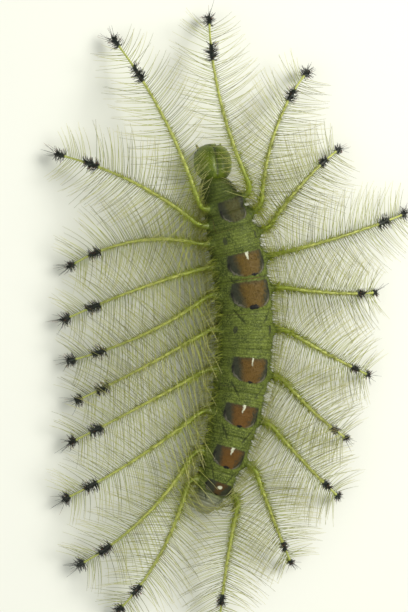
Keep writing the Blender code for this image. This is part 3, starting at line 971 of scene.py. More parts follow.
def patch_colours(tree, ground):
    """Patches, wedges, dots and spots drawn over the green."""
    aside, ahead, red = attribute(tree, "patch").parts()
    wedge, dot, spot = attribute(tree, "marks").parts()
    wobble = speckle(tree, 0.35, 2.0) - 0.5
    aside = aside + wobble * 0.18
    ahead = ahead + wobble * 0.26
    front = ahead.most(0)
    back = ahead.least(0)
    side = (1 - back * back * 0.86).most(0.001) ** 0.5 * (1 - front * front * 0.10)
    edge = (aside.size() - side).most(ahead.size() - 1)
    grain = speckle(tree, 0.12, 2.0)
    deep = red.step(0.85, 1.0)
    centre = blend(red.step(0.0, 0.8), BROWN, MAROON)
    centre = blend(deep, centre, DEEP)
    centre = blend(red.step(0.0, -0.4), centre, SMOKE)
    centre = blend(grain.step(0.35, 0.7) * 0.35, centre, colour(84, 60, 34))
    # The slate reaches further in on the left half of each patch, as painted shade of that side.
    outer = aside.size() - aside * 0.10 + deep * 0.25 + wobble * 0.5 - ahead * 0.12
    field = blend(outer.step(0.30, 0.74), centre, SLATE)
    field = blend(ahead.step(0.60, 1.0) * 0.5, field, SLATE)
    rim = edge.step(-0.20, -0.10) * edge.step(0.0, -0.05)
    rim = rim * ahead.step(0.25, -0.2) * aside.size().step(0.3, 0.6)
    field = blend(rim * 0.7, field, LAVENDER)
    blotch = (aside.size() - 0.93).size().step(0.14, 0.02) * (ahead + 0.1).size().step(0.55, 0.25)
    field = blend(blotch * 0.85, field, BLACK)
    painted = blend(edge.step(0.05, -0.05), ground, field)
    halo = edge.step(0.16, 0.03) * edge.step(-0.03, 0.03)
    painted = blend(halo * 0.35, painted, colour(48, 54, 34))
    away, off, shift = attribute(tree, "spots").parts()
    reach = ((aside - shift) * (aside - shift) + ((ahead + 0.96) * 1.5) ** 2) ** 0.5
    painted = blend((reach - dot).step(0.04, -0.05), painted, BLACK)
    taper = wedge * ((ahead - 0.25) * 1.34)
    inside = (aside.size() - taper).step(0.03, -0.03) * ahead.step(1.06, 1.0) * ahead.step(0.25, 0.35)
    painted = blend(inside * wedge.step(0.005, 0.02), painted, WHITE)
    round_spot = (aside * aside + ((ahead - 0.2) * 0.55) ** 2) ** 0.5
    painted = blend((round_spot - spot).step(0.04, -0.04) * spot.step(0.02, 0.05), painted, WHITE)
    lone = ((away * away + off * off) ** 0.5 + wobble).step(1.1, 0.7)
    return blend(lone * 0.8, painted, SLATE)


def make_skin_material():
    made, tree, shader = new_material("velvet_skin", 0.62, Specular_IOR_Level=0.3)
    feed(shader, "Base Color", patch_colours(tree, green_ground(tree)))
    height = cells(tree, 0.13).step(0.55, 0.05) + speckle(tree, 0.4, 3.0) * 1.2
    add_bump(shader, height, 0.035)
    return made


skin_material = make_skin_material()
body_skin.data.materials.clear()
body_skin.data.materials.append(skin_material)
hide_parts(*NAMES, *[f"proleg_{row[0]}_{side}" for row in PROLEGS for side in SIDES])
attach(body_skin, "root")
print("skin dressed")

# %% [markdown]
# ## Spines
#
# What look like feathers are scoli: stiff stems that taper from the flank to the tip,
# pale yellow-green and a little translucent, with two swollen black-green stretches. The
# path of each stem repeats the solid's own rule, from its heading at the root to its
# heading at the tip. A curve swept by a circle makes the stem, and its radius along the
# way is an attribute of the path.

# %% Sizes of the spines
# Each spine: segment, side, length, heading at the root and at the tip in degrees
# forward of square to the model, rise at the root and droop at the tip in degrees, and
# the share of its length where the middle of the inner black stretch lies.
SPINES = (
    ("mesothorax", "right", 21.5, 122, 80, 13, 33, 0.757),
    ("metathorax", "right", 18.5, 92, 43, 9, 28, 0.748),
    ("abdomen_1", "right", 14.5, 59, 30, 12, 34, 0.744),
    ("abdomen_2", "right", 19.0, 14, 19, 18, 36, 0.757),
    ("abdomen_3", "right", 14.0, -10, 5, 18, 42, 0.762),
    ("abdomen_4", "right", 14.0, -33, -18, 17, 42, 0.760),
    ("abdomen_5", "right", 13.0, -53, -25, 16, 42, 0.758),
    ("abdomen_6", "right", 14.0, -53, -34, 18, 40, 0.758),
    ("abdomen_7", "right", 13.5, -76, -55, 18, 38, 0.758),
    ("abdomen_8", "right", 15.5, -111, -82, 21, 38, 0.760),
    ("mesothorax", "left", 22.0, 70, 59, 12, 31, 0.750),
    ("metathorax", "left", 18.5, 38, 16, 14, 33, 0.766),
    ("abdomen_1", "left", 16.0, 17, -36, 12, 33, 0.784),
    ("abdomen_2", "left", 17.5, -13, -28, 14, 33, 0.774),
    ("abdomen_3", "left", 18.0, -35, -16, 17, 36, 0.786),
    ("abdomen_4", "left", 17.5, -28, -29, 16, 35, 0.802),
    ("abdomen_5", "left", 18.0, -26, -31, 15, 34, 0.808),
    ("abdomen_6", "left", 19.0, -35, -31, 18, 35, 0.808),
    ("abdomen_7", "left", 19.0, -56, -34, 20, 35, 0.796),
    ("abdomen_8", "left", 17.5, -71, -55, 24, 39, 0.790),
)
LEAN_SHARE = 0.7
SPINE_BEND = 1.7
SPINE_STEPS = 40
CAD_SHAFT_ROOT = 0.55
ROOT_DEPTH = 0.55
STEM_RINGS = 90
STEM_SIDES = 12
# Radius of a stem at shares of its length.
STEM = (
    (0.0, 0.38), (0.02, 0.30), (0.05, 0.25), (0.10, 0.22), (0.20, 0.19), (0.45, 0.16),
    (0.70, 0.12), (0.735, 0.13), (0.752, 0.21), (0.785, 0.25), (0.815, 0.22), (0.84, 0.12),
    (0.90, 0.10), (0.932, 0.11), (0.944, 0.21), (0.965, 0.24), (0.985, 0.17), (1.0, 0.05),
)
CLUSTERS = ((0.742, 0.83), (0.938, 0.99))


def direction(side, bearing, dip):
    """Unit vector for a bearing forward of square to the model and a dip, in degrees."""
    turn, fall = math.radians(bearing), math.radians(dip)
    flat = math.cos(fall)
    return Vector((SIDES[side] * math.cos(turn) * flat, math.sin(turn) * flat, -math.sin(fall)))


def spine_path(row):
    """Points along a spine as the solid has it, in 3D, and the direction at each."""
    name, side, length, root, tip, rise, droop, _ = row
    foot, out = seat_of(name, side)
    lean = SPINE_SEATS[name][2]
    point = foot + out * (GAP + CAD_SHAFT_ROOT * math.sin(math.radians(abs(lean) * LEAN_SHARE)))
    bearing = math.degrees(math.atan2(out.y, out.x * SIDES[side])) + lean
    dip = -math.degrees(math.asin(out.z))
    points = [point.copy()]
    ways = [direction(side, bearing, dip)]
    for step in range(SPINE_STEPS):
        share = (step + 0.5) / SPINE_STEPS
        free = ease(share * length / SPINE_BEND)
        way = direction(
            side,
            mix(bearing, mix(root, tip, share), free),
            mix(dip, mix(-rise, droop, share), free),
        )
        point = point + way * (length / SPINE_STEPS)
        points.append(point.copy())
        ways.append(way)
    return points, ways


def at_share(values, share):
    place = min(max(share, 0.0), 1.0) * (len(values) - 1)
    index = min(int(place), len(values) - 2)
    return values[index].lerp(values[index + 1], place - index)


def drawn_path(row):
    """The solid's path, slid along itself so that the inner black stretch is in its place."""
    middle = sum(CLUSTERS[0]) / 2
    shares = np.interp(np.linspace(0, 1, SPINE_STEPS + 1), (0, middle, 1), (0, row[-1], 1))
    return [[at_share(values, share) for share in shares] for values in spine_path(row)]


paths = {(row[0], row[1]): drawn_path(row) for row in SPINES}
print(len(paths), "spine paths, the longest", max(row[2] for row in SPINES), "mm")

# %% Helpers for Geometry Nodes
def new_tree(name, inputs):
    """A Geometry Nodes group with named inputs, as wires, and its output node."""
    tree = bpy.data.node_groups.new(name, "GeometryNodeTree")
    tree.interface.new_socket("Geometry", in_out="INPUT", socket_type="NodeSocketGeometry")
    for label, kind in inputs:
        tree.interface.new_socket(label, in_out="INPUT", socket_type=kind)
    tree.interface.new_socket("Geometry", in_out="OUTPUT", socket_type="NodeSocketGeometry")
    start = tree.nodes.new("NodeGroupInput")
    end = tree.nodes.new("NodeGroupOutput")
    labels = ["Geometry"] + [row[0] for row in inputs]
    wires = {label: Wire(tree, start.outputs[label]) for label in labels}
    return tree, wires, end


def named(tree, name, kind="FLOAT"):
    node = "GeometryNodeInputNamedAttribute"
    return Wire.node(tree, node, {"data_type": kind}, {"Name": name}, "Attribute")


def stored(tree, geometry, name, value, kind="FLOAT", domain="POINT"):
    settings = {"data_type": kind, "domain": domain}
    inputs = {"Geometry": geometry, "Name": name, "Value": value}
    return Wire.node(tree, "GeometryNodeStoreNamedAttribute", settings, inputs)


def finished(tree, end, geometry, material):
    """Realize, shade smooth, set the material and connect the group's output."""
    whole = Wire.node(tree, "GeometryNodeRealizeInstances", inputs={"Geometry": geometry})
    whole = Wire.node(tree, "GeometryNodeSetShadeSmooth", inputs={"Geometry": whole})
    whole = Wire.node(tree, "GeometryNodeSetMaterial", inputs={"Geometry": whole, "Material": material})
    tree.links.new(whole.socket, end.inputs["Geometry"])


def grow(name, carrier, tree, values):
    """Run a tree on a mesh and keep the result as a plain object."""
    made = add_object(name, carrier)
    modifier = made.modifiers.new("grow", "NODES")
    modifier.node_group = tree
    for item in tree.interface.items_tree:
        if item.in_out == "INPUT" and item.name in values:
            modifier[item.identifier] = values[item.name]
    bpy.context.view_layer.update()
    mesh = bpy.data.meshes.new_from_object(made.evaluated_get(bpy.context.evaluated_depsgraph_get()))
    made.modifiers.remove(modifier)
    made.data = mesh
    mesh.name = name
    return made


# %% The stem tree
def make_stem_tree():
    """Sweep a circle along a path, scaled by the path's own radius."""
    inputs = (("Sides", "NodeSocketInt"), ("Material", "NodeSocketMaterial"))
    tree, wires, end = new_tree("stem", inputs)
    curve = Wire.node(tree, "GeometryNodeMeshToCurve", inputs={"Mesh": wires["Geometry"]})
    round_line = Wire.node(tree, "GeometryNodeCurvePrimitiveCircle", inputs={
        "Resolution": wires["Sides"], "Radius": 1.0,
    })
    swept = Wire.node(tree, "GeometryNodeCurveToMesh", inputs={
        "Curve": curve, "Profile Curve": round_line, "Scale": named(tree, "girth"), "Fill Caps": True,
    })
    finished(tree, end, swept, wires["Material"])
    return tree


def stem_radius(share):
    shares, radii = zip(*STEM)
    return float(np.interp(share, shares, radii))


def stem_carrier(key):
    """Line of points along a stem, rooted inside the skin, with radius and share."""
    points, _ = paths[key]
    foot, out = seat_of(*key)
    line = [foot - out * ROOT_DEPTH]
    shares = [0.0]
    for step in range(STEM_RINGS + 1):
        share = step / STEM_RINGS
        line.append(at_share(points, share))
        shares.append(share)
    mesh = bpy.data.meshes.new("stem_line")
    edges = [(index, index + 1) for index in range(len(line) - 1)]
    mesh.from_pydata([point * MM for point in line], edges, [])
    write_attribute(mesh, "girth", [stem_radius(share) * MM for share in shares])
    write_attribute(mesh, "share", shares)
    return mesh


# %% Stem material
STEM_ROOT = colour(140, 158, 30)
STEM_PALE = colour(192, 198, 104)
CLUSTER = colour(14, 22, 16)
CLUSTER_PALE = colour(36, 50, 34)


def cluster_mask(share):
    """1 on the two swollen black stretches of a stem."""
    (inner, inner_end), (outer, _) = CLUSTERS
    first = share.step(inner - 0.008, inner + 0.008) * share.step(inner_end + 0.008, inner_end - 0.008)
    return first.most(share.step(outer - 0.006, outer + 0.004))


def make_stem_material():
    made, tree, shader = new_material("stem_horn", 0.5, Coat_Weight=0.1, Coat_Roughness=0.4)
    share = attribute(tree, "share", "Fac")
    grain = speckle(tree, 0.22, 2.0)
    ground = blend(share.step(0.0, 0.05), GREEN, STEM_ROOT)
    ground = blend(share.step(0.02, 0.30), ground, STEM_PALE)
    ground = blend(grain.step(0.45, 0.65) * 0.6, ground, colour(124, 140, 44))
    dark = blend(grain.step(0.4, 0.7), CLUSTER, CLUSTER_PALE)
    edge = share + (grain - 0.5) * 0.01
    feed(shader, "Base Color", blend(cluster_mask(edge), ground, dark))
    return made


stem_tree = make_stem_tree()
stem_material = make_stem_material()
for key in paths:
    label = "_".join(key)
    values = {"Sides": STEM_SIDES, "Material": stem_material}
    stem = grow(f"stem_{label}", stem_carrier(key), stem_tree, values)
    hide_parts(f"spine_{label}")
    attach(stem, "root")
print("stems", len(paths), "with", len(stem.data.polygons), "faces each")

# %% [markdown]
# ## Hairs
#
# Both sides of a stem carry a comb of fine stiff hairs, up to 6 mm long, which leave it
# almost at right angles and curve a little towards the tip. The black stretches carry
# short spinules with rusty tips instead. One tree makes every hair of the model: it sets
# a thin three-sided cone on each root, and bends it by the attributes of that root. The
# map named OFBake gives each hair a small patch where its root is on its carrier.

# %% The hair tree
PATCH_SIZE = 0.003


def grow_hairs(tree, roots, wires):
    """Nodes that set a tapered hair on each root point and bend it by its attributes."""
    cone = tree.nodes.new("GeometryNodeMeshCone")
    cone.fill_type = "NGON"
    for label, wire in (("Vertices", "Sides"), ("Side Segments", "Steps"),
                        ("Radius Bottom", "Root Radius"), ("Radius Top", "Tip Radius")):
        tree.links.new(wires[wire].socket, cone.inputs[label])
    cone.inputs["Depth"].default_value = 1.0
    place = Wire.node(tree, "GeometryNodeInputPosition")
    hair = stored(tree, Wire(tree, cone.outputs["Mesh"]), "strand", place, "FLOAT_VECTOR")
    hair = stored(tree, hair, "sheet", Wire(tree, cone.outputs["UV Map"]), "FLOAT_VECTOR", "CORNER")
    set_on = Wire.node(tree, "GeometryNodeInstanceOnPoints", inputs={"Points": roots, "Instance": hair})
    whole = Wire.node(tree, "GeometryNodeRealizeInstances", inputs={"Geometry": set_on})
    root, along, lean = [named(tree, name, "FLOAT_VECTOR") for name in ("root", "along", "lean")]
    reach, curl = named(tree, "reach"), named(tree, "curl")
    ring_x, ring_y, share = named(tree, "strand", "FLOAT_VECTOR").parts()
    aside = along.joined("CROSS_PRODUCT", lean).joined("NORMALIZE")
    middle = root + along * (reach * share) + lean * (reach * curl * share * share)
    thick = named(tree, "thick")
    placed = middle + aside * (ring_x * thick) + lean * (ring_y * thick)
    whole = Wire.node(tree, "GeometryNodeSetPosition", inputs={"Geometry": whole, "Position": placed})
    sheet = named(tree, "sheet", "FLOAT_VECTOR") - (0.5, 0.5, 0.0)
    patch = named(tree, "unwrap", "FLOAT_VECTOR") + sheet * PATCH_SIZE
    whole = stored(tree, whole, "OFBake", patch, "FLOAT2", "CORNER")
    for name in ("root", "along", "lean", "reach", "curl", "thick", "unwrap", "sheet"):
        whole = Wire.node(tree, "GeometryNodeRemoveAttribute", inputs={"Geometry": whole, "Name": name})
    return whole


HAIR_INPUTS = (
    ("Sides", "NodeSocketInt"), ("Steps", "NodeSocketInt"), ("Root Radius", "NodeSocketFloat"),
    ("Tip Radius", "NodeSocketFloat"), ("Material", "NodeSocketMaterial"),
)


def make_hair_tree():
    tree, wires, end = new_tree("hairs", HAIR_INPUTS)
    finished(tree, end, grow_hairs(tree, wires["Geometry"], wires), wires["Material"])
    return tree


def root_carrier(roots):
    """Mesh of loose points that carries each root's numbers, from rows in millimetres."""
    mesh = bpy.data.meshes.new("roots")
    mesh.from_pydata((roots["root"] * MM).tolist(), [], [])
    for name in ("along", "lean", "unwrap"):
        write_attribute(mesh, name, roots[name])
    write_attribute(mesh, "root", roots["root"] * MM)
    write_attribute(mesh, "reach", roots["reach"] * MM)
    for name in ("curl", "thick", "kind", "shade"):
        write_attribute(mesh, name, roots[name])
    return mesh


# %% Roots of the hairs of one spine
HAIR_COUNT = 180
HAIR_SPAN = (0.0, 0.93)
# Length of a hair in mm at shares of its stem.
HAIR_LENGTHS = (
    (0.0, 2.3), (0.05, 4.0), (0.12, 5.0), (0.30, 5.6),
    (0.50, 5.8), (0.70, 5.0), (0.85, 4.2), (0.93, 3.2),
)
# Angle in degrees between a hair and its stem at shares of the stem.
HAIR_SWEEPS = ((0.0, 100), (0.06, 92), (0.2, 80), (1.0, 64))
HAIR_ROWS = (-9, 4, 16)
# Share of the first pair's stems over which the hairs grow longer, clear of the neck, and
# how much of their length those beside the head have.
BARE_NECK = 0.2
HEAD_SIDE = 0.5
FUZZ_COUNT = 980
SPINULE_COUNTS = (104, 72)
# Spinules are shorter on a spine that reaches less far than this, in mm.
FULL_REACH = 17
BRISTLE_COUNT = 9
FLOOR_ROOM = 0.10
# How dark the hairs at a stem's root are at least. On the left they are in the body's shade.
ROOT_SHADES = {"left": 1.1, "right": 0.0}


# What each root carries for the hair tree.
ROOT_NAMES = ("root", "along", "lean", "unwrap", "reach", "curl", "thick", "kind", "shade")


def stem_frame(way):
    """Vectors to the right of and above a direction."""
    side = way.cross(Vector((0, 0, 1))).normalized()
    return side, side.cross(way).normalized()


def add_root(rows, key, share, turn, sweep, reach, curl, thick, kind, draw):
    """One root on a stem: turn in degrees round it from its right, sweep from its way."""
    points, ways = paths[key]
    way = at_share(ways, share).normalized()
    side, above = stem_frame(way)
    round_stem = math.radians(turn)
    out = side * math.cos(round_stem) + above * math.sin(round_stem)
    along = way * math.cos(math.radians(sweep)) + out * math.sin(math.radians(sweep))
    lean = (way - along * way.dot(along)).normalized()
    rows["root"].append(at_share(points, share) + out * (stem_radius(share) * 0.6))
    rows["along"].append(along)
    rows["lean"].append(lean)
    rows["unwrap"].append((0.01 + 0.98 * share, 0.01 + 0.98 * ((turn / 360) % 1), 0))
    rows["reach"].append(reach)
    rows["curl"].append(curl)
    rows["thick"].append(thick)
    rows["kind"].append(kind)
    rows["shade"].append(max(draw.random(), ROOT_SHADES[key[1]] - share * 4.5))


def hair_roots(key, draw):
    """The comb of long hairs on both sides of a stem, in three close rows."""
    rows = {name: [] for name in ROOT_NAMES}
    shares, lengths = zip(*HAIR_LENGTHS)
    sweep_shares, sweeps = zip(*HAIR_SWEEPS)
    first, last = HAIR_SPAN
    for index in range(HAIR_COUNT):
        share = mix(first, last, (index + draw.uniform(-0.4, 0.4)) / HAIR_COUNT)
        inner, inner_end = CLUSTERS[0]
        if inner < share < inner_end and index % 3:
            continue
        tilt = HAIR_ROWS[index // 2 % len(HAIR_ROWS)] * min(share * 8, 1) + draw.uniform(-6, 6)
        turn = tilt if index % 2 else 180 - tilt
        sweep = np.interp(share, sweep_shares, sweeps) + draw.uniform(-5, 5)
        curl = draw.uniform(0.06, 0.22) * min(0.3 + share * 4, 1)
        length = np.interp(share, shares, lengths)
        reach = length * draw.choice((1.0, 1.0, 0.9, 0.75)) * draw.uniform(0.85, 1.06)
        if key[0] == "mesothorax":
            reach *= ease(share / BARE_NECK)
            if (index % 2 == 1) == (key[1] == "left"):
                reach *= mix(HEAD_SIDE, 1, ease(share * 4 - 1))
        add_root(rows, key, share, turn, sweep, reach, curl, 1.0, 0, draw)
    for _ in range(FUZZ_COUNT):
        share = 0.73 * draw.random() ** 1.3
        reach = draw.uniform(0.18, 0.50) * (2.1 - 1.9 * share)
        kind = mix(0.5, 0.2, min(share * 2, 1))
        turn, sweep = draw.uniform(0, 360), draw.uniform(50, 88)
        add_root(rows, key, share, turn, sweep, reach, 0.1, 0.7, kind, draw)
    points = paths[key][0]
    spread = min((points[-1] - points[0]).length / FULL_REACH, 1) ** 2
    for (start, end), count in zip(CLUSTERS, SPINULE_COUNTS):
        for index in range(count):
            share = mix(start, end, (index + draw.random()) / count)
            sweep = draw.uniform(58, 98)
            reach = draw.uniform(0.4, 0.95) * spread
            add_root(rows, key, share, draw.uniform(0, 360), sweep, reach, 0.04, 1.2, 1, draw)
    for _ in range(BRISTLE_COUNT):
        reach = draw.uniform(0.9, 2.0)
        share = draw.uniform(0.96, 0.995)
        turn, sweep = draw.uniform(0, 360), draw.uniform(12, 48)
        add_root(rows, key, share, turn, sweep, reach, 0.1, 0.8, 1, draw)
    return {name: np.array([tuple(value) if isinstance(value, Vector) else value for value in values])
            for name, values in rows.items()}


# %% Keep the hairs clear
box_low, box_high = [np.array(corner) / MM for corner in cad_box]
BOX_ROOM = 0.025
CLEAR_STEPS = 14
LONG_HAIR = 0.9
# How far long hairs keep from the body, in mm, and how far up they are pushed from it.
# The camera looks across the body's left edge, where nearer hairs would hide the back.
HAIR_ROOM = {"left": 0.9, "right": 0.02}
HAIR_PUSH = {"left": -0.15, "right": 0.25}


def hair_point(roots, share):
    reach = roots["reach"][:, None]
    bend = roots["lean"] * (reach * roots["curl"][:, None] * share * share)
    return roots["root"] + roots["along"] * (reach * share) + bend


def lift_off_floor(roots):
    """Tilt a hair up where its tip would pass under the floor."""
    tip = hair_point(roots, 1.0)
    short = np.maximum(FLOOR_ROOM - tip[:, 2], 0) / roots["reach"]
    roots["along"][:, 2] += short
    roots["along"] /= np.linalg.norm(roots["along"], axis=1, keepdims=True)


def push_off_body(roots, out, room, tries=8):
    """Turn long hairs that run into the body outward, a little at a time."""
    for _ in range(tries):
        hits = np.zeros(len(roots["reach"]), dtype=bool)
        for share in (0.3, 0.5, 0.7, 0.85, 1.0):
            hits |= inside_body(hair_point(roots, share), room)
        hits &= roots["reach"] > LONG_HAIR
        roots["along"][hits] += np.array(out) * 0.22
        roots["along"] /= np.linalg.norm(roots["along"], axis=1, keepdims=True)


def cleared(roots, least=0.35):
    """Shorten a hair where it would enter the body, the floor or leave the solids' box."""
    lift_off_floor(roots)
    stops = np.zeros(len(roots["reach"]))
    running = np.ones(len(stops), dtype=bool)
    room = (box_high - box_low) * BOX_ROOM
    for step in range(1, CLEAR_STEPS + 1):
        share = step / CLEAR_STEPS
        point = hair_point(roots, share)
        bad = (point[:, 2] < 0.02) | (point < box_low - room).any(1) | (point > box_high + room).any(1)
        if share > 0.2:
            bad |= inside_body(point, -0.05)
        running &= ~bad
        stops[running] = share
    roots["reach"] = roots["reach"] * stops
    keep = roots["reach"] > least
    return {name: values[keep] for name, values in roots.items()}


# %% Hair material
HAIR_ROOT = colour(140, 154, 28)
HAIR_MIDDLE = colour(178, 182, 84)
HAIR_TIP = colour(204, 200, 134)
HAIR_DARK = colour(88, 90, 30)
FUZZ = colour(172, 186, 42)
SPINULE_TIP = colour(150, 84, 40)


def make_hair_material():
    made, tree, shader = new_material("hair_horn", 0.45)
    share = attribute(tree, "strand").parts()[2]
    shade = attribute(tree, "shade", "Fac")
    kind = attribute(tree, "kind", "Fac")
    pale = blend(share.step(0.0, 0.35), HAIR_ROOT, HAIR_MIDDLE)
    pale = blend(share.step(0.4, 1.0), pale, HAIR_TIP)
    pale = blend(kind.step(0.1, 0.4) * 0.7, pale, FUZZ)
    # Hairs darkened at random, and near the roots of the left stems as painted shade of that side.
    pale = blend(shade.step(0.45, 0.9) * 0.75, pale, HAIR_DARK)
    rusty = blend(share.step(0.5, 1.0) * shade.step(0.7, 0.95), CLUSTER, SPINULE_TIP)
    feed(shader, "Base Color", blend(kind.step(0.6, 0.9), pale, rusty))
    return made


hair_tree = make_hair_tree()
hair_material = make_hair_material()
HAIR_SIZES = {
    "Sides": 3, "Steps": 6, "Root Radius": 0.037 * MM, "Tip Radius": 0.013 * MM,
    "Material": hair_material,
}
hairs = 0
for number, key in enumerate(paths):
    roots = hair_roots(key, random.Random(100 + number))
    _, out = seat_of(*key)
    push_off_body(roots, (out.x, out.y, HAIR_PUSH[key[1]]), HAIR_ROOM[key[1]])
    roots = cleared(roots, 0.15)
    plume = grow("plume_" + "_".join(key), root_carrier(roots), hair_tree, HAIR_SIZES)
    hairs += len(roots["reach"])
    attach(plume, "root")
print(hairs, "hairs on the spines")

# %% [markdown]
# ## Head
#
# The head is a hard round capsule with two lobes, parted by a furrow that forks on the
# face and frames a triangular front. It is sculpted from rings of an egg shape, and the
# furrows are pressed in along paths drawn on it. Eyes, feelers and jaws are pieces of
# their own: on each side six tiny lenses in a curve, a feeler of three joints and a
# dark jaw, and between them the upper and lower lips with the tube that spins silk.
# Pale granules stud the face, and each of them carries a fine bristle.

# %% Sculpt the head
HEAD_LENGTH = 3.7
HEAD_HALF_WIDTH = 2.05
HEAD_HALF_HEIGHT = 1.85
HEAD_CENTRE = 2.75
HEAD_DROP = 0.55
HEAD_SWELL = (0.47, 0.56, 2.3)
HEAD_RINGS = 84
HEAD_SIDES = 96
FURROW_DEPTH = 0.17
FURROW_WIDTH = 0.07
# Furrows as paths of directions from the middle of the head: right, forward and up.
FURROWS = (
    ((0, -0.7, 0.7), (0, 0.0, 1.0), (0, 0.6, 0.8), (0, 0.86, 0.5)),
    ((0, 0.86, 0.5), (0.20, 0.95, 0.2), (0.36, 0.93, -0.1), (0.42, 0.85, -0.32)),
    ((0, 0.86, 0.5), (-0.20, 0.95, 0.2), (-0.36, 0.93, -0.1), (-0.42, 0.85, -0.32)),
    ((-0.42, 0.85, -0.32), (0, 0.93, -0.36), (0.42, 0.85, -0.32)),
)
neck, neck_heading = on_axis(NAMES[0], 0.0)
head_heading = neck_heading - HEAD_TURN
head_start = neck + forward(head_heading) * HEAD_ROOM
HEAD_AXES = np.array([rightward(head_heading), forward(head_heading), Vector((0, 0, 1))])


def from_head(right, ahead, up):
    """Point in mm from distances to the right of and ahead of the head's start, and height."""
    return beside(head_start, head_heading, right, ahead, up)


def head_directions(points):
    """Unit directions of points from the middle of the head, in its own axes."""
    share = HEAD_SWELL[0]
    middle = from_head(0, share * HEAD_LENGTH, HEAD_CENTRE - HEAD_DROP * share)
    own = (points - np.array(middle)) @ HEAD_AXES.T
    return own / np.linalg.norm(own, axis=1, keepdims=True)


def furrow_points(steps=14):
    """Unit directions along all furrows."""
    places = []
    for path in FURROWS:
        for first, second in zip(path, path[1:]):
            for step in range(steps):
                places.append(Vector(first).lerp(Vector(second), step / steps).normalized())
    return np.array(places)


def head_points():
    widest, reach, power = HEAD_SWELL
    rings = []
    for ring in range(HEAD_RINGS + 1):
        turn = math.pi * ring / HEAD_RINGS
        share = widest - reach * 0.985 * math.cos(turn)
        swell = (1 - abs((share - widest) / reach) ** power) ** (1 / power)
        height = HEAD_CENTRE - HEAD_DROP * share
        row = []
        for side in range(HEAD_SIDES):
            angle = 2 * math.pi * side / HEAD_SIDES
            from_top = math.atan2(math.cos(angle), math.sin(angle))
            lobes = 1 - 0.09 * math.exp(-(from_top / 0.26) ** 2) * ease(share * 3)
            across = math.cos(angle) * HEAD_HALF_WIDTH * swell * lobes
            up = math.sin(angle) * HEAD_HALF_HEIGHT * swell * lobes
            row.append(from_head(across, share * HEAD_LENGTH, height + up))
        rings.append(row)
    points = np.array(rings)
    flat = points.reshape(-1, 3)
    ways = head_directions(flat)
    lines = furrow_points()
    near = np.full(len(flat), 9.0)
    for line in lines:
        near = np.minimum(near, np.linalg.norm(ways - line, axis=1))
    press = -FURROW_DEPTH * groove(near, FURROW_WIDTH) * (ways[:, 1] > -0.6)
    press += np.array([noise.noise(Vector(point) / 0.28) for point in flat]) * 0.012
    return (flat + (ways * press[:, None]) @ HEAD_AXES).reshape(points.shape), near


head_rings, furrow_distance = head_points()
head_capsule = add_object("head_capsule", closed_loft("head_capsule", head_rings))
write_attribute(head_capsule.data, "furrow", np.append(groove(furrow_distance, 0.06), [0, 0]))
print("head", len(head_capsule.data.polygons), "faces")

# %% Small parts of the head
def tube_mesh(name, centres, radii, sides=20, flat=1.0, across=None):
    """Closed tube through centres in mm, each ring round or flattened along one way."""
    rings = []
    for index, (centre, radius) in enumerate(zip(centres, radii)):
        before = centres[max(index - 1, 0)]
        after = centres[min(index + 1, len(centres) - 1)]
        way = (after - before).normalized()
        side = (across or way.cross(Vector((0, 0, 1)))).normalized()
        above = side.cross(way).normalized()
        ring = []
        for corner in range(sides):
            angle = 2 * math.pi * corner / sides
            point = centre + side * (radius * math.cos(angle))
            ring.append(point + above * (radius * flat * math.sin(angle)))
        rings.append(ring)
    return closed_loft(name, rings)


def straight(start, way, length, shares):
    return [start + way * (length * share) for share in shares]


def merge(name, meshes):
    """One object from several closed meshes, each a shell of its own."""
    shape = bmesh.new()
    for mesh in meshes:
        shape.from_mesh(mesh)
    whole = bpy.data.meshes.new(name)
    shape.to_mesh(whole)
    shape.free()
    whole.shade_smooth()
    return add_object(name, whole)


def head_way(right, ahead, up):
    return beside(Vector(), head_heading, right, ahead, up).normalized()


FEELER_SHAPE = (
    (0.0, 0.25), (0.18, 0.26), (0.24, 0.235), (0.26, 0.19), (0.44, 0.185), (0.60, 0.18), (0.63, 0.165),
    (0.65, 0.125), (0.80, 0.12), (0.90, 0.11), (0.92, 0.06), (0.98, 0.05), (1.0, 0.025),
)
# Share of a jaw's length, half width and half thickness.
JAW_SHAPE = (
    (0.0, 0.40, 0.26), (0.3, 0.42, 0.27), (0.55, 0.40, 0.23), (0.75, 0.37, 0.17), (0.88, 0.34, 0.11),
    (1.0, 0.31, 0.04),
)
JAW_LENGTH = 0.74
JAW_SIDES = 36


def feeler_mesh(sign):
    start = from_head(sign * 0.95, 0.78 * HEAD_LENGTH, 1.55)
    shares, radii = zip(*FEELER_SHAPE)
    return tube_mesh("feeler", straight(start, head_way(0.45 * sign, 1, -0.25), 1.15, shares), radii)


def jaw_mesh(sign):
    """Short broad jaw, whose free edge is cut into blunt teeth."""
    way = head_way(-0.12 * sign, 1, -0.95)
    start = from_head(sign * 0.42, 0.80 * HEAD_LENGTH, 1.14)
    side = rightward(head_heading)
    above = side.cross(way).normalized()
    rings = []
    for share, wide, thick in JAW_SHAPE:
        ring = []
        for corner in range(JAW_SIDES):
            angle = 2 * math.pi * corner / JAW_SIDES
            across = math.cos(angle)
            tooth = 0.09 * abs(math.sin(across * 4.6)) * ease((share - 0.7) / 0.3)
            point = start + way * (JAW_LENGTH * share + tooth) + side * (across * wide)
            ring.append(point + above * (math.sin(angle) * thick))
        rings.append(ring)
    return closed_loft("jaw", rings)


LIP_SHAPE = (
    (0.0, 0.60), (0.2, 0.62), (0.4, 0.62), (0.6, 0.61),
    (0.78, 0.60), (0.9, 0.56), (0.97, 0.50), (1.0, 0.42),
)
LIP_LENGTH = 1.12
LIP_SIDES = 48


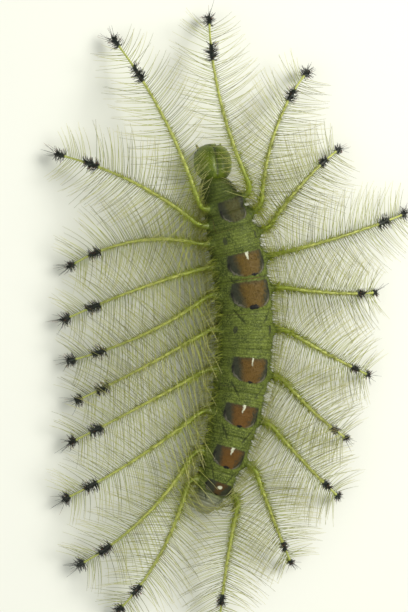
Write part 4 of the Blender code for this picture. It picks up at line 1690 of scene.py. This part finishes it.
def lip_mesh():
    """Upper lip: a plate over the jaws with a notch in the middle of its edge."""
    way = head_way(0, 1, -1.25)
    start = from_head(0, 0.84 * HEAD_LENGTH, 1.78)
    side = rightward(head_heading)
    above = side.cross(way).normalized()
    rings = []
    for share, wide in LIP_SHAPE:
        thick = mix(0.26, 0.12, share)
        ring = []
        for corner in range(LIP_SIDES):
            angle = 2 * math.pi * corner / LIP_SIDES
            across = math.cos(angle)
            notch = 0.24 * math.exp(-(across / 0.30) ** 2) * ease((share - 0.3) / 0.7)
            bow = 0.10 * across * across
            point = start + way * (LIP_LENGTH * share - notch) + side * (across * wide)
            ring.append(point + above * (math.sin(angle) * thick - bow))
        rings.append(ring)
    return closed_loft("lip", rings)


UNDER_LIP_SHARES = (0.0, 0.35, 0.7, 0.9, 1.0)
UNDER_LIP_RADII = (0.42, 0.42, 0.36, 0.27, 0.16)
SPINNERET_RADII = (0.09, 0.08, 0.06, 0.05, 0.03)
PALP_RADII = (0.13, 0.13, 0.09, 0.07, 0.03)


def under_lip_meshes():
    """Lower lip with a pair of palps and the spinneret between them."""
    way = head_way(0, 1, -1.1)
    start = from_head(0, 0.66 * HEAD_LENGTH, 0.98)
    plate = straight(start, way, 0.62, UNDER_LIP_SHARES)
    spinneret = straight(start + way * 0.5, way, 0.34, UNDER_LIP_SHARES)
    meshes = [
        tube_mesh("under_lip", plate, UNDER_LIP_RADII, 20, 0.7),
        tube_mesh("spinneret", spinneret, SPINNERET_RADII, 10),
    ]
    for sign in (-1, 1):
        foot = start + way * 0.42 + rightward(head_heading) * (0.24 * sign)
        palp = straight(foot, head_way(0.25 * sign, 1, -1.1), 0.42, UNDER_LIP_SHARES)
        meshes.append(tube_mesh("palp", palp, PALP_RADII, 12))
    return meshes


LENS_RADIUS = 0.085
# Directions of the lenses of one side from the middle of the head: right, forward, up.
LENSES = (
    (0.74, 0.62, 0.02), (0.82, 0.56, -0.14), (0.84, 0.50, -0.30), (0.80, 0.48, -0.46),
    (0.70, 0.60, -0.50), (0.66, 0.72, -0.34),
)


head_flat = head_rings.reshape(-1, 3)
head_flat_ways = head_directions(head_flat)


def on_head(way):
    """Point of the head's surface in a direction from its middle, and the way outward."""
    way = np.array(way) / np.linalg.norm(way)
    spot = head_flat[np.linalg.norm(head_flat_ways - way, axis=1).argmin()]
    return Vector(spot), Vector((way @ HEAD_AXES).tolist())


def dome_mesh(way, radius, sides=14, steps=8):
    """Small dome set on the head where a direction meets it."""
    spot, out = on_head(way)
    turns = [math.pi * step / steps for step in range(1, steps)]
    centres = [spot + out * (math.cos(turn) * radius * 0.8) for turn in turns]
    return tube_mesh("dome", centres, [math.sin(turn) * radius for turn in turns], sides)


def lens_meshes():
    ways = [(sign * right, ahead, up) for sign in (-1, 1) for right, ahead, up in LENSES]
    return [dome_mesh(way, LENS_RADIUS) for way in ways]


feelers = merge("feelers", [feeler_mesh(sign) for sign in (-1, 1)])
jaws = merge("jaws", [jaw_mesh(sign) for sign in (-1, 1)])
lips = merge("lips", [lip_mesh()] + under_lip_meshes())
lenses = merge("lenses", lens_meshes())
jaw_root = np.array(from_head(0, 0.80 * HEAD_LENGTH, 1.14))
bite = (mesh_points(jaws.data) - jaw_root) @ np.array(head_way(0, 1, -0.95))
write_attribute(jaws.data, "tip", bite / JAW_LENGTH)
print("head parts:", [piece.name for piece in (feelers, jaws, lips, lenses)])

# %% Granules and bristles of the head
GRANULE_COUNT = 260
GRANULE_RADII = (0.035, 0.06)
BRISTLE_LENGTHS = (0.18, 0.50)


def granule_ways(draw):
    """Directions spread evenly over the hard face, clear of its furrows, lenses and mouth."""
    lines = [np.array(line) for line in furrow_points()]
    eyes = [np.array((sign * right, ahead, up)) for sign in (-1, 1) for right, ahead, up in LENSES]
    taken = np.array(lines + [eye / np.linalg.norm(eye) for eye in eyes])
    ways = []
    for index in range(GRANULE_COUNT):
        up = 1 - 2 * (index + 0.5) / GRANULE_COUNT
        turn = index * 2.39996 + draw.uniform(-0.2, 0.2)
        level = math.sqrt(1 - up * up)
        way = np.array((math.cos(turn) * level, math.sin(turn) * level, up))
        clear = np.linalg.norm(taken - way, axis=1).min() > 0.12
        mouth = way[1] > 0.45 and way[2] < -0.30
        if clear and way[1] > -0.6 and not mouth:
            ways.append(way)
    return ways


def pack_roots(rows, thick, kind):
    """Rows of root, along, lean, unwrap, reach, curl and shade as the arrays of a carrier."""
    columns = [np.array([tuple(row[index]) for row in rows]) for index in range(4)]
    columns += [np.array([row[index] for row in rows]) for index in range(4, 7)]
    roots = dict(zip(("root", "along", "lean", "unwrap", "reach", "curl", "shade"), columns))
    roots["thick"] = np.full(len(rows), thick)
    roots["kind"] = np.full(len(rows), kind)
    return roots


def head_bristles(ways, draw):
    """A fine bristle on each granule, bent down over the face."""
    rows = []
    for way in ways:
        spot, out = on_head(way)
        play = Vector((draw.gauss(0, 1), draw.gauss(0, 1), draw.gauss(0, 1))) * 0.15
        along = (out + play).normalized()
        fall = Vector((0, 0, -1)) + forward(head_heading) * 0.5
        lean = (fall - along * along.dot(fall)).normalized()
        turn = math.atan2(way[1], way[0]) / (2 * math.pi) % 1
        unwrap = (0.01 + 0.98 * turn, 0.01 + 0.49 * (way[2] + 1), 0)
        reach = draw.uniform(*BRISTLE_LENGTHS)
        rows.append((spot, along, lean, unwrap, reach, 0.25, draw.random() * 0.5))
    return pack_roots(rows, 0.27, 0.0)


granule_draw = random.Random(11)
seats = granule_ways(granule_draw)
domes = [dome_mesh(way, granule_draw.uniform(*GRANULE_RADII), 9, 6) for way in seats]
granules = merge("granules", domes)
bristle_carrier = root_carrier(head_bristles(seats, granule_draw))
head_hairs = grow("head_bristles", bristle_carrier, hair_tree, HAIR_SIZES)
print(len(seats), "granules on the head, each with a bristle")

# %% Materials of the head
def make_head_material():
    """Horn in yellow-green, finely studded with pale dots, darkened in the furrows as painted shade."""
    made, tree, shader = new_material("head_horn", 0.42, Coat_Weight=0.15, Coat_Roughness=0.3)
    broad = speckle(tree, 0.8, 3.0)
    grain = speckle(tree, 0.10, 2.0)
    stud = cells(tree, 0.19).step(0.34, 0.14)
    ground = blend(broad.step(0.35, 0.65), colour(82, 102, 2), colour(108, 126, 6))
    ground = blend(grain.step(0.45, 0.70) * 0.35, ground, colour(66, 82, 2))
    ground = blend(stud * 0.5, ground, colour(146, 158, 48))
    # Painted shade in the furrows of the head.
    ground = blend(attribute(tree, "furrow", "Fac") * 0.75, ground, colour(44, 50, 14))
    feed(shader, "Base Color", ground)
    add_bump(shader, stud + grain * 0.4 + broad * 0.4, 0.03)
    return made


def make_jaw_material():
    """Amber horn that darkens to black at the teeth."""
    made, tree, shader = new_material("jaw_horn", 0.3, Coat_Weight=0.3, Coat_Roughness=0.2)
    grain = speckle(tree, 0.2, 3.0)
    tip = attribute(tree, "tip", "Fac") + (grain - 0.5) * 0.3
    feed(shader, "Base Color", blend(tip.step(0.30, 0.85), colour(136, 92, 38), colour(24, 14, 8)))
    add_bump(shader, grain, 0.01)
    return made


def make_horn(name, root, tip, grain_size, roughness):
    """Horn that shades between two colours in soft blotches."""
    made, tree, shader = new_material(name, roughness, Coat_Weight=0.3, Coat_Roughness=0.2)
    blotch = speckle(tree, grain_size, 3.0)
    feed(shader, "Base Color", blend(blotch.step(0.35, 0.7), root, tip))
    add_bump(shader, speckle(tree, grain_size / 4), 0.01)
    return made


def dress(piece, material, slot, *nodes):
    """Give a finished piece its one material and its place in the frame."""
    piece.data.materials.clear()
    piece.data.materials.append(material)
    if nodes:
        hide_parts(*nodes)
    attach(piece, "root")


dress(head_capsule, make_head_material(), "head", "head")
dress(feelers, make_horn("feeler_horn", colour(150, 160, 84), colour(112, 104, 52), 0.5, 0.4), "head")
dress(jaws, make_jaw_material(), "head")
dress(lips, make_horn("lip_horn", colour(140, 146, 70), colour(110, 108, 44), 0.5, 0.45), "head")
dress(granules, make_horn("granule_horn", colour(150, 160, 66), colour(124, 138, 40), 0.2, 0.4), "head")
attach(head_hairs, "root")
dress(lenses, make_horn("lens_black", colour(10, 9, 8), colour(30, 22, 14), 0.3, 0.12), "head")
print("head dressed")

# %% [markdown]
# ## Legs
#
# Three pairs of short horny legs stand under the thorax. Each has a wide root, two
# joints that narrow towards the foot, and one curved claw. The rings of a leg are placed
# by one list of shares and radii, so the joints show as real waists.

# %% Make the legs
LEGS = (("prothorax", 0.75), ("mesothorax", 0.85), ("metathorax", 0.95))
LEG_REACH = 0.45
LEG_REACH_SHARE = 0.7
LEG_LEAN = 0.45
# Share of the way down from the belly and radius. The first two rings are in the body.
LEG_SHAPE = (
    (-0.35, 0.42), (-0.1, 0.43), (0.10, 0.42), (0.22, 0.40), (0.30, 0.33), (0.34, 0.29), (0.38, 0.31),
    (0.50, 0.31), (0.60, 0.27), (0.64, 0.22), (0.68, 0.235), (0.78, 0.22), (0.84, 0.17), (0.87, 0.13),
    (0.92, 0.10), (0.96, 0.075), (1.0, 0.035),
)


def belly_height(name, share, across):
    width, middle, _, drop = section(name, share)
    inner = max(1 - (abs(across) / width) ** BELLY_POWER, 0.0)
    return middle - drop * inner ** (1 / BELLY_POWER)


def leg_mesh(name, offset, sign):
    spot, heading = on_axis(name, 0.5)
    top = belly_height(name, 0.5, offset)
    centres = []
    for share, radius in LEG_SHAPE:
        down = max(share, 0.0)
        out = sign * (offset + LEG_REACH * ease(down / LEG_REACH_SHARE) - 0.20 * ease((share - 0.8) * 5))
        ahead = LEG_LEAN * down ** 2
        height = top * (1 - share) + 0.035 * (share > 0.98)
        centres.append(beside(spot, heading, out, ahead, height))
    return tube_mesh("leg", centres, [radius for _, radius in LEG_SHAPE], 22, 0.9, rightward(heading))


def make_leg_material():
    """Pale green horn that turns brown towards the claw, by height above the floor."""
    made, tree, shader = new_material("leg_horn", 0.38, Coat_Weight=0.3, Coat_Roughness=0.25)
    height = Wire.node(tree, "ShaderNodeTexCoord", output="Object").parts()[2] / MM
    grain = speckle(tree, 0.2, 2.0)
    ground = blend(grain.step(0.4, 0.7), colour(146, 158, 84), colour(170, 176, 112))
    ground = blend((height + grain * 0.1).step(0.85, 0.30), ground, colour(126, 104, 48))
    claw = (height + grain * 0.05).step(0.20, 0.10)
    feed(shader, "Base Color", blend(claw, ground, colour(50, 30, 16)))
    add_bump(shader, grain, 0.015)
    return made


leg_material = make_leg_material()
for name, offset in LEGS:
    for side, sign in SIDES.items():
        leg = add_object(f"leg_{name}_{side}_horn", leg_mesh(name, offset, sign))
        dress(leg, leg_material, "leg", f"leg_{name}_{side}")
print("legs", 2 * len(LEGS))

# %% [markdown]
# ## Small details of the body
#
# A breathing hole with a raised brown rim lies low on the flank of the prothorax and of
# each of the first eight segments of the abdomen. The soles of the prolegs carry two
# arcs of tiny brown hooks, with which the larva clings.

# %% Breathing holes
SPIRACLE_SIZE = (0.12, 0.18)
SPIRACLE_RIM = 0.04
SPIRACLE_TURN = 100
SPIRACLE_SEGMENTS = ("prothorax",) + tuple(f"abdomen_{number}" for number in range(1, 9))


def skin_spot(name, share, turn):
    """Point of the finished skin at an angle from the top, and the direction outward."""
    size = section(name, share)
    spot, heading = on_axis(name, share)
    across, height = ring_point(size, math.pi / 2 - math.radians(turn))
    out = rightward(heading) * (across / size[0] ** 2)
    out = out + Vector((0, 0, (height - size[1]) / size[2] ** 2))
    point = spot + rightward(heading) * across + Vector((0, 0, height))
    nearest = skin_tree.find(point)[0]
    return nearest, out.normalized(), forward(heading)


def rim_mesh(centre, out, ahead, size, thickness, sides=8, steps=22):
    """Closed oval ring that lies on a surface."""
    up = out.cross(ahead).normalized()
    points = []
    faces = []
    for step in range(steps):
        turn = 2 * math.pi * step / steps
        away = ahead * (math.cos(turn) * size[0]) + up * (math.sin(turn) * size[1])
        for side in range(sides):
            angle = 2 * math.pi * side / sides
            points.append(centre + away + away.normalized() * (thickness * math.cos(angle))
                          + out * (thickness * math.sin(angle)))
            first, after = step * sides, (step + 1) % steps * sides
            beside = (side + 1) % sides
            faces.append((first + side, first + beside, after + beside, after + side))
    mesh = bpy.data.meshes.new("rim")
    mesh.from_pydata([point * MM for point in points], [], faces)
    return mesh


def slit_mesh(centre, out, ahead, size):
    """Low dark dome that fills a breathing hole."""
    up = out.cross(ahead).normalized()
    rings = []
    for lift, share in ((-0.06, 1.0), (0.0, 1.0), (0.015, 0.7), (0.02, 0.3)):
        ring = []
        for step in range(18):
            turn = 2 * math.pi * step / 18
            away = ahead * (math.cos(turn) * size[0] * share) + up * (math.sin(turn) * size[1] * share)
            ring.append(centre + away + out * lift)
        rings.append(ring)
    return closed_loft("slit", rings)


def build_skin_tree():
    tree = KDTree(len(body_skin.data.vertices))
    for index, place in enumerate(mesh_points(body_skin.data)):
        tree.insert(place, index)
    tree.balance()
    return tree


skin_tree = build_skin_tree()
rims = []
slits = []
for name in SPIRACLE_SEGMENTS:
    for sign in SIDES.values():
        centre, out, ahead = skin_spot(name, 0.34, SPIRACLE_TURN * sign)
        rims.append(rim_mesh(centre, out, ahead, SPIRACLE_SIZE, SPIRACLE_RIM))
        slits.append(slit_mesh(centre, out, ahead, SPIRACLE_SIZE))
spiracle_rims = merge("spiracle_rims", rims)
spiracle_slits = merge("spiracle_slits", slits)
dress(spiracle_rims, make_horn("rim_horn", colour(150, 110, 60), colour(104, 66, 32), 0.2, 0.4), "skin")
dress(spiracle_slits, make_horn("slit_dark", colour(52, 36, 22), colour(24, 16, 10), 0.1, 0.5), "skin")
print("breathing holes", len(rims))

# %% Hooks of the prolegs
HOOKS_PER_ARC = 17
HOOK_LENGTH = 0.17
HOOK_HEIGHT = 0.075


def hook_roots(draw):
    """Two arcs of hooks on each sole, one facing outward and one facing the midline."""
    rows = []
    for name, share, offset, radius in PROLEGS:
        spot, heading = on_axis(name, share)
        for sign in SIDES.values():
            middle = spot + rightward(heading) * (sign * offset)
            for index in range(2 * HOOKS_PER_ARC):
                arc, step = divmod(index, HOOKS_PER_ARC)
                angle = math.pi * arc + math.radians(124) * (step / (HOOKS_PER_ARC - 1) - 0.5)
                away = rightward(heading) * (sign * math.cos(angle)) + forward(heading) * math.sin(angle)
                along = (away + Vector((0, 0, 0.5))).normalized()
                lean = (away * 0.5 - Vector((0, 0, 1))).normalized()
                unwrap = (0.02 + 0.96 * (angle / (2 * math.pi) % 1), 0.02 + 0.96 * draw.random(), 0)
                root = middle + away * (radius * 0.93) + Vector((0, 0, HOOK_HEIGHT))
                rows.append((root, along, lean, unwrap, HOOK_LENGTH, 0.6, draw.random()))
    return pack_roots(rows, 0.55, 1.0)


hooks = grow("proleg_hooks", root_carrier(hook_roots(random.Random(5))), hair_tree, {
    **HAIR_SIZES, "Material": make_horn("hook_horn", colour(112, 66, 26), colour(70, 38, 14), 0.2, 0.35),
})
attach(hooks, "root")
print("hooks", len(hooks.data.polygons), "faces")

# %% Pile
# Short pale hairs all over the back and flanks make the skin look like velvet.
PILE_DENSITY = 17
PILE_LENGTH = (0.10, 0.24)


def make_pile_tree():
    """Scatter roots over the skin and grow a short hair on each, leaning backward."""
    inputs = HAIR_INPUTS + (("Density", "NodeSocketFloat"), ("Shortest", "NodeSocketFloat"),
                            ("Longest", "NodeSocketFloat"), ("Seed", "NodeSocketInt"))
    tree, wires, end = new_tree("pile", inputs)
    scatter = tree.nodes.new("GeometryNodeDistributePointsOnFaces")
    tree.links.new(wires["Geometry"].socket, scatter.inputs["Mesh"])
    tree.links.new(wires["Seed"].socket, scatter.inputs["Seed"])
    density = wires["Density"] * named(tree, "pile")
    tree.links.new(density.socket, scatter.inputs["Density"])
    points = Wire(tree, scatter.outputs["Points"])
    normal = Wire(tree, scatter.outputs["Normal"])
    lie = named(tree, "lie", "FLOAT_VECTOR")
    play = Wire.node(tree, "FunctionNodeRandomValue", {"data_type": "FLOAT_VECTOR"},
                     {"Min": (-0.4, -0.4, -0.4), "Max": (0.4, 0.4, 0.4), "Seed": wires["Seed"]})
    along = (normal + lie * 0.75 + play).joined("NORMALIZE")
    lean = (lie - along * along.joined("DOT_PRODUCT", lie).number()).joined("NORMALIZE")
    length = Wire.node(tree, "FunctionNodeRandomValue", {"data_type": "FLOAT"}, {
        "Min_001": wires["Shortest"], "Max_001": wires["Longest"], "Seed": wires["Seed"] + 1,
    }, "Value_001")
    shade = Wire.node(tree, "FunctionNodeRandomValue", {"data_type": "FLOAT"}, {
        "Min_001": 0.0, "Max_001": 1.0, "Seed": wires["Seed"] + 2,
    }, "Value_001")
    place = Wire.node(tree, "GeometryNodeInputPosition")
    for name, value in (("root", place), ("along", along), ("lean", lean)):
        points = stored(tree, points, name, value, "FLOAT_VECTOR")
    for name, value in (("reach", length), ("shade", shade), ("curl", 0.3), ("thick", 1.0)):
        points = stored(tree, points, name, value)
    finished(tree, end, grow_hairs(tree, points, wires), wires["Material"])
    return tree


def pile_carrier(source, density, lie, unwrap):
    """Copy of a skin that says where its pile grows, how it lies and how it unwraps."""
    mesh = source.copy()
    write_attribute(mesh, "pile", density)
    write_attribute(mesh, "lie", lie)
    write_attribute(mesh, "unwrap", unwrap)
    return mesh


def skin_pile():
    """The pile's density, lie and unwrap for each point of the body's skin."""
    points = mesh_points(body_skin.data)
    along, across, height, rows = body_places(points)
    turn = np.arctan2(across, height - rows[:, 5])
    density = np.clip((2.1 - np.abs(turn)) / 0.5, 0, 1) * np.clip((BODY_LENGTH - along) / 1.0, 0.2, 1)
    density *= (1 - 0.7 * slant_shade(along, turn)) * (along > 0.1)
    for key in paths:
        foot, _ = seat_of(*key)
        density *= np.linalg.norm(points - np.array(foot), axis=1) > CONE_RADIUS * 0.5
    lie = np.stack([np.sin(rows[:, 3]), -np.cos(rows[:, 3]), np.full(len(rows), -0.15)], -1)
    unwrap = np.stack([0.01 + 0.98 * along.clip(0, BODY_LENGTH) / BODY_LENGTH,
                       0.5 + turn / (2 * np.pi) * 0.98, np.zeros(len(rows))], -1)
    return density, lie, unwrap


def make_pile_material():
    """Pale hairs that take the colour of the green or of the patch they stand on."""
    made, tree, shader = new_material("pile_hair", 0.6, Specular_IOR_Level=0.2)
    shade = attribute(tree, "shade", "Fac")
    share = attribute(tree, "strand").parts()[2]
    green = blend(shade.step(0.3, 0.95), colour(88, 102, 28), colour(142, 152, 80))
    green = shaded_ends(tree, green, colour(176, 178, 158))
    # Painted shade in the folds, as on the skin.
    green = blend(attribute(tree, "folds", "Fac") * 0.9, green, colour(34, 42, 18))
    skin = patch_colours(tree, green)
    tip = share.step(0.3, 1.0) * shade.step(0.4, 0.9) * 0.2
    feed(shader, "Base Color", blend(tip, skin, colour(150, 152, 100)))
    return made


pile_tree = make_pile_tree()
pile = grow("body_pile", pile_carrier(body_skin.data, *skin_pile()), pile_tree, {
    "Sides": 3, "Steps": 2, "Root Radius": 0.016 * MM, "Tip Radius": 0.005 * MM,
    "Material": make_pile_material(), "Density": PILE_DENSITY / MM ** 2,
    "Shortest": PILE_LENGTH[0] * MM, "Longest": PILE_LENGTH[1] * MM, "Seed": 3,
})
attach(pile, "root")
print("pile", len(pile.data.polygons), "faces")

# %% Fringe of the flanks
# Below the spines, finer hairs stand out from the flanks and hide the edge of the body.
FRINGE_COUNT = 2000
FRINGE_TURNS = (62, 116)
FRINGE_LENGTHS = (0.7, 2.7)


def fringe_roots(draw):
    """Roots along both flanks, each with a length, a lean backward and a shade."""
    rows = []
    for _ in range(FRINGE_COUNT):
        along = draw.uniform(0.3, BODY_LENGTH - 1.2)
        turn = draw.choice((-1, 1)) * draw.uniform(*FRINGE_TURNS)
        foot, out, ahead = skin_spot(*station(along), turn)
        play = Vector((draw.gauss(0, 1), draw.gauss(0, 1), draw.gauss(0, 0.6))) * 0.25
        way = (out + play - ahead * 0.15).normalized()
        lean = (-ahead - way * way.dot(-ahead)).normalized()
        unwrap = (0.01 + 0.98 * along / BODY_LENGTH, 0.5 + turn / 360 * 0.98, 0)
        reach = draw.uniform(*FRINGE_LENGTHS) * min(1, 0.4 + (BODY_LENGTH - along) / 12)
        rows.append((foot, way, lean, unwrap, reach, draw.uniform(0.05, 0.25), draw.random()))
    return pack_roots(rows, 0.6, 0.25)


fringe_carrier = root_carrier(cleared(fringe_roots(random.Random(7))))
fringe = grow("body_fringe", fringe_carrier, hair_tree, HAIR_SIZES)
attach(fringe, "root")
print("fringe", len(fringe.data.polygons), "faces")

# %% Floor finish
def make_floor_material():
    made, _, shader = new_material("pale_floor", 0.75)
    shader.inputs["Base Color"].default_value = (0.86, 0.87, 0.80, 1)
    return made


floor_mesh.materials.append(make_floor_material())
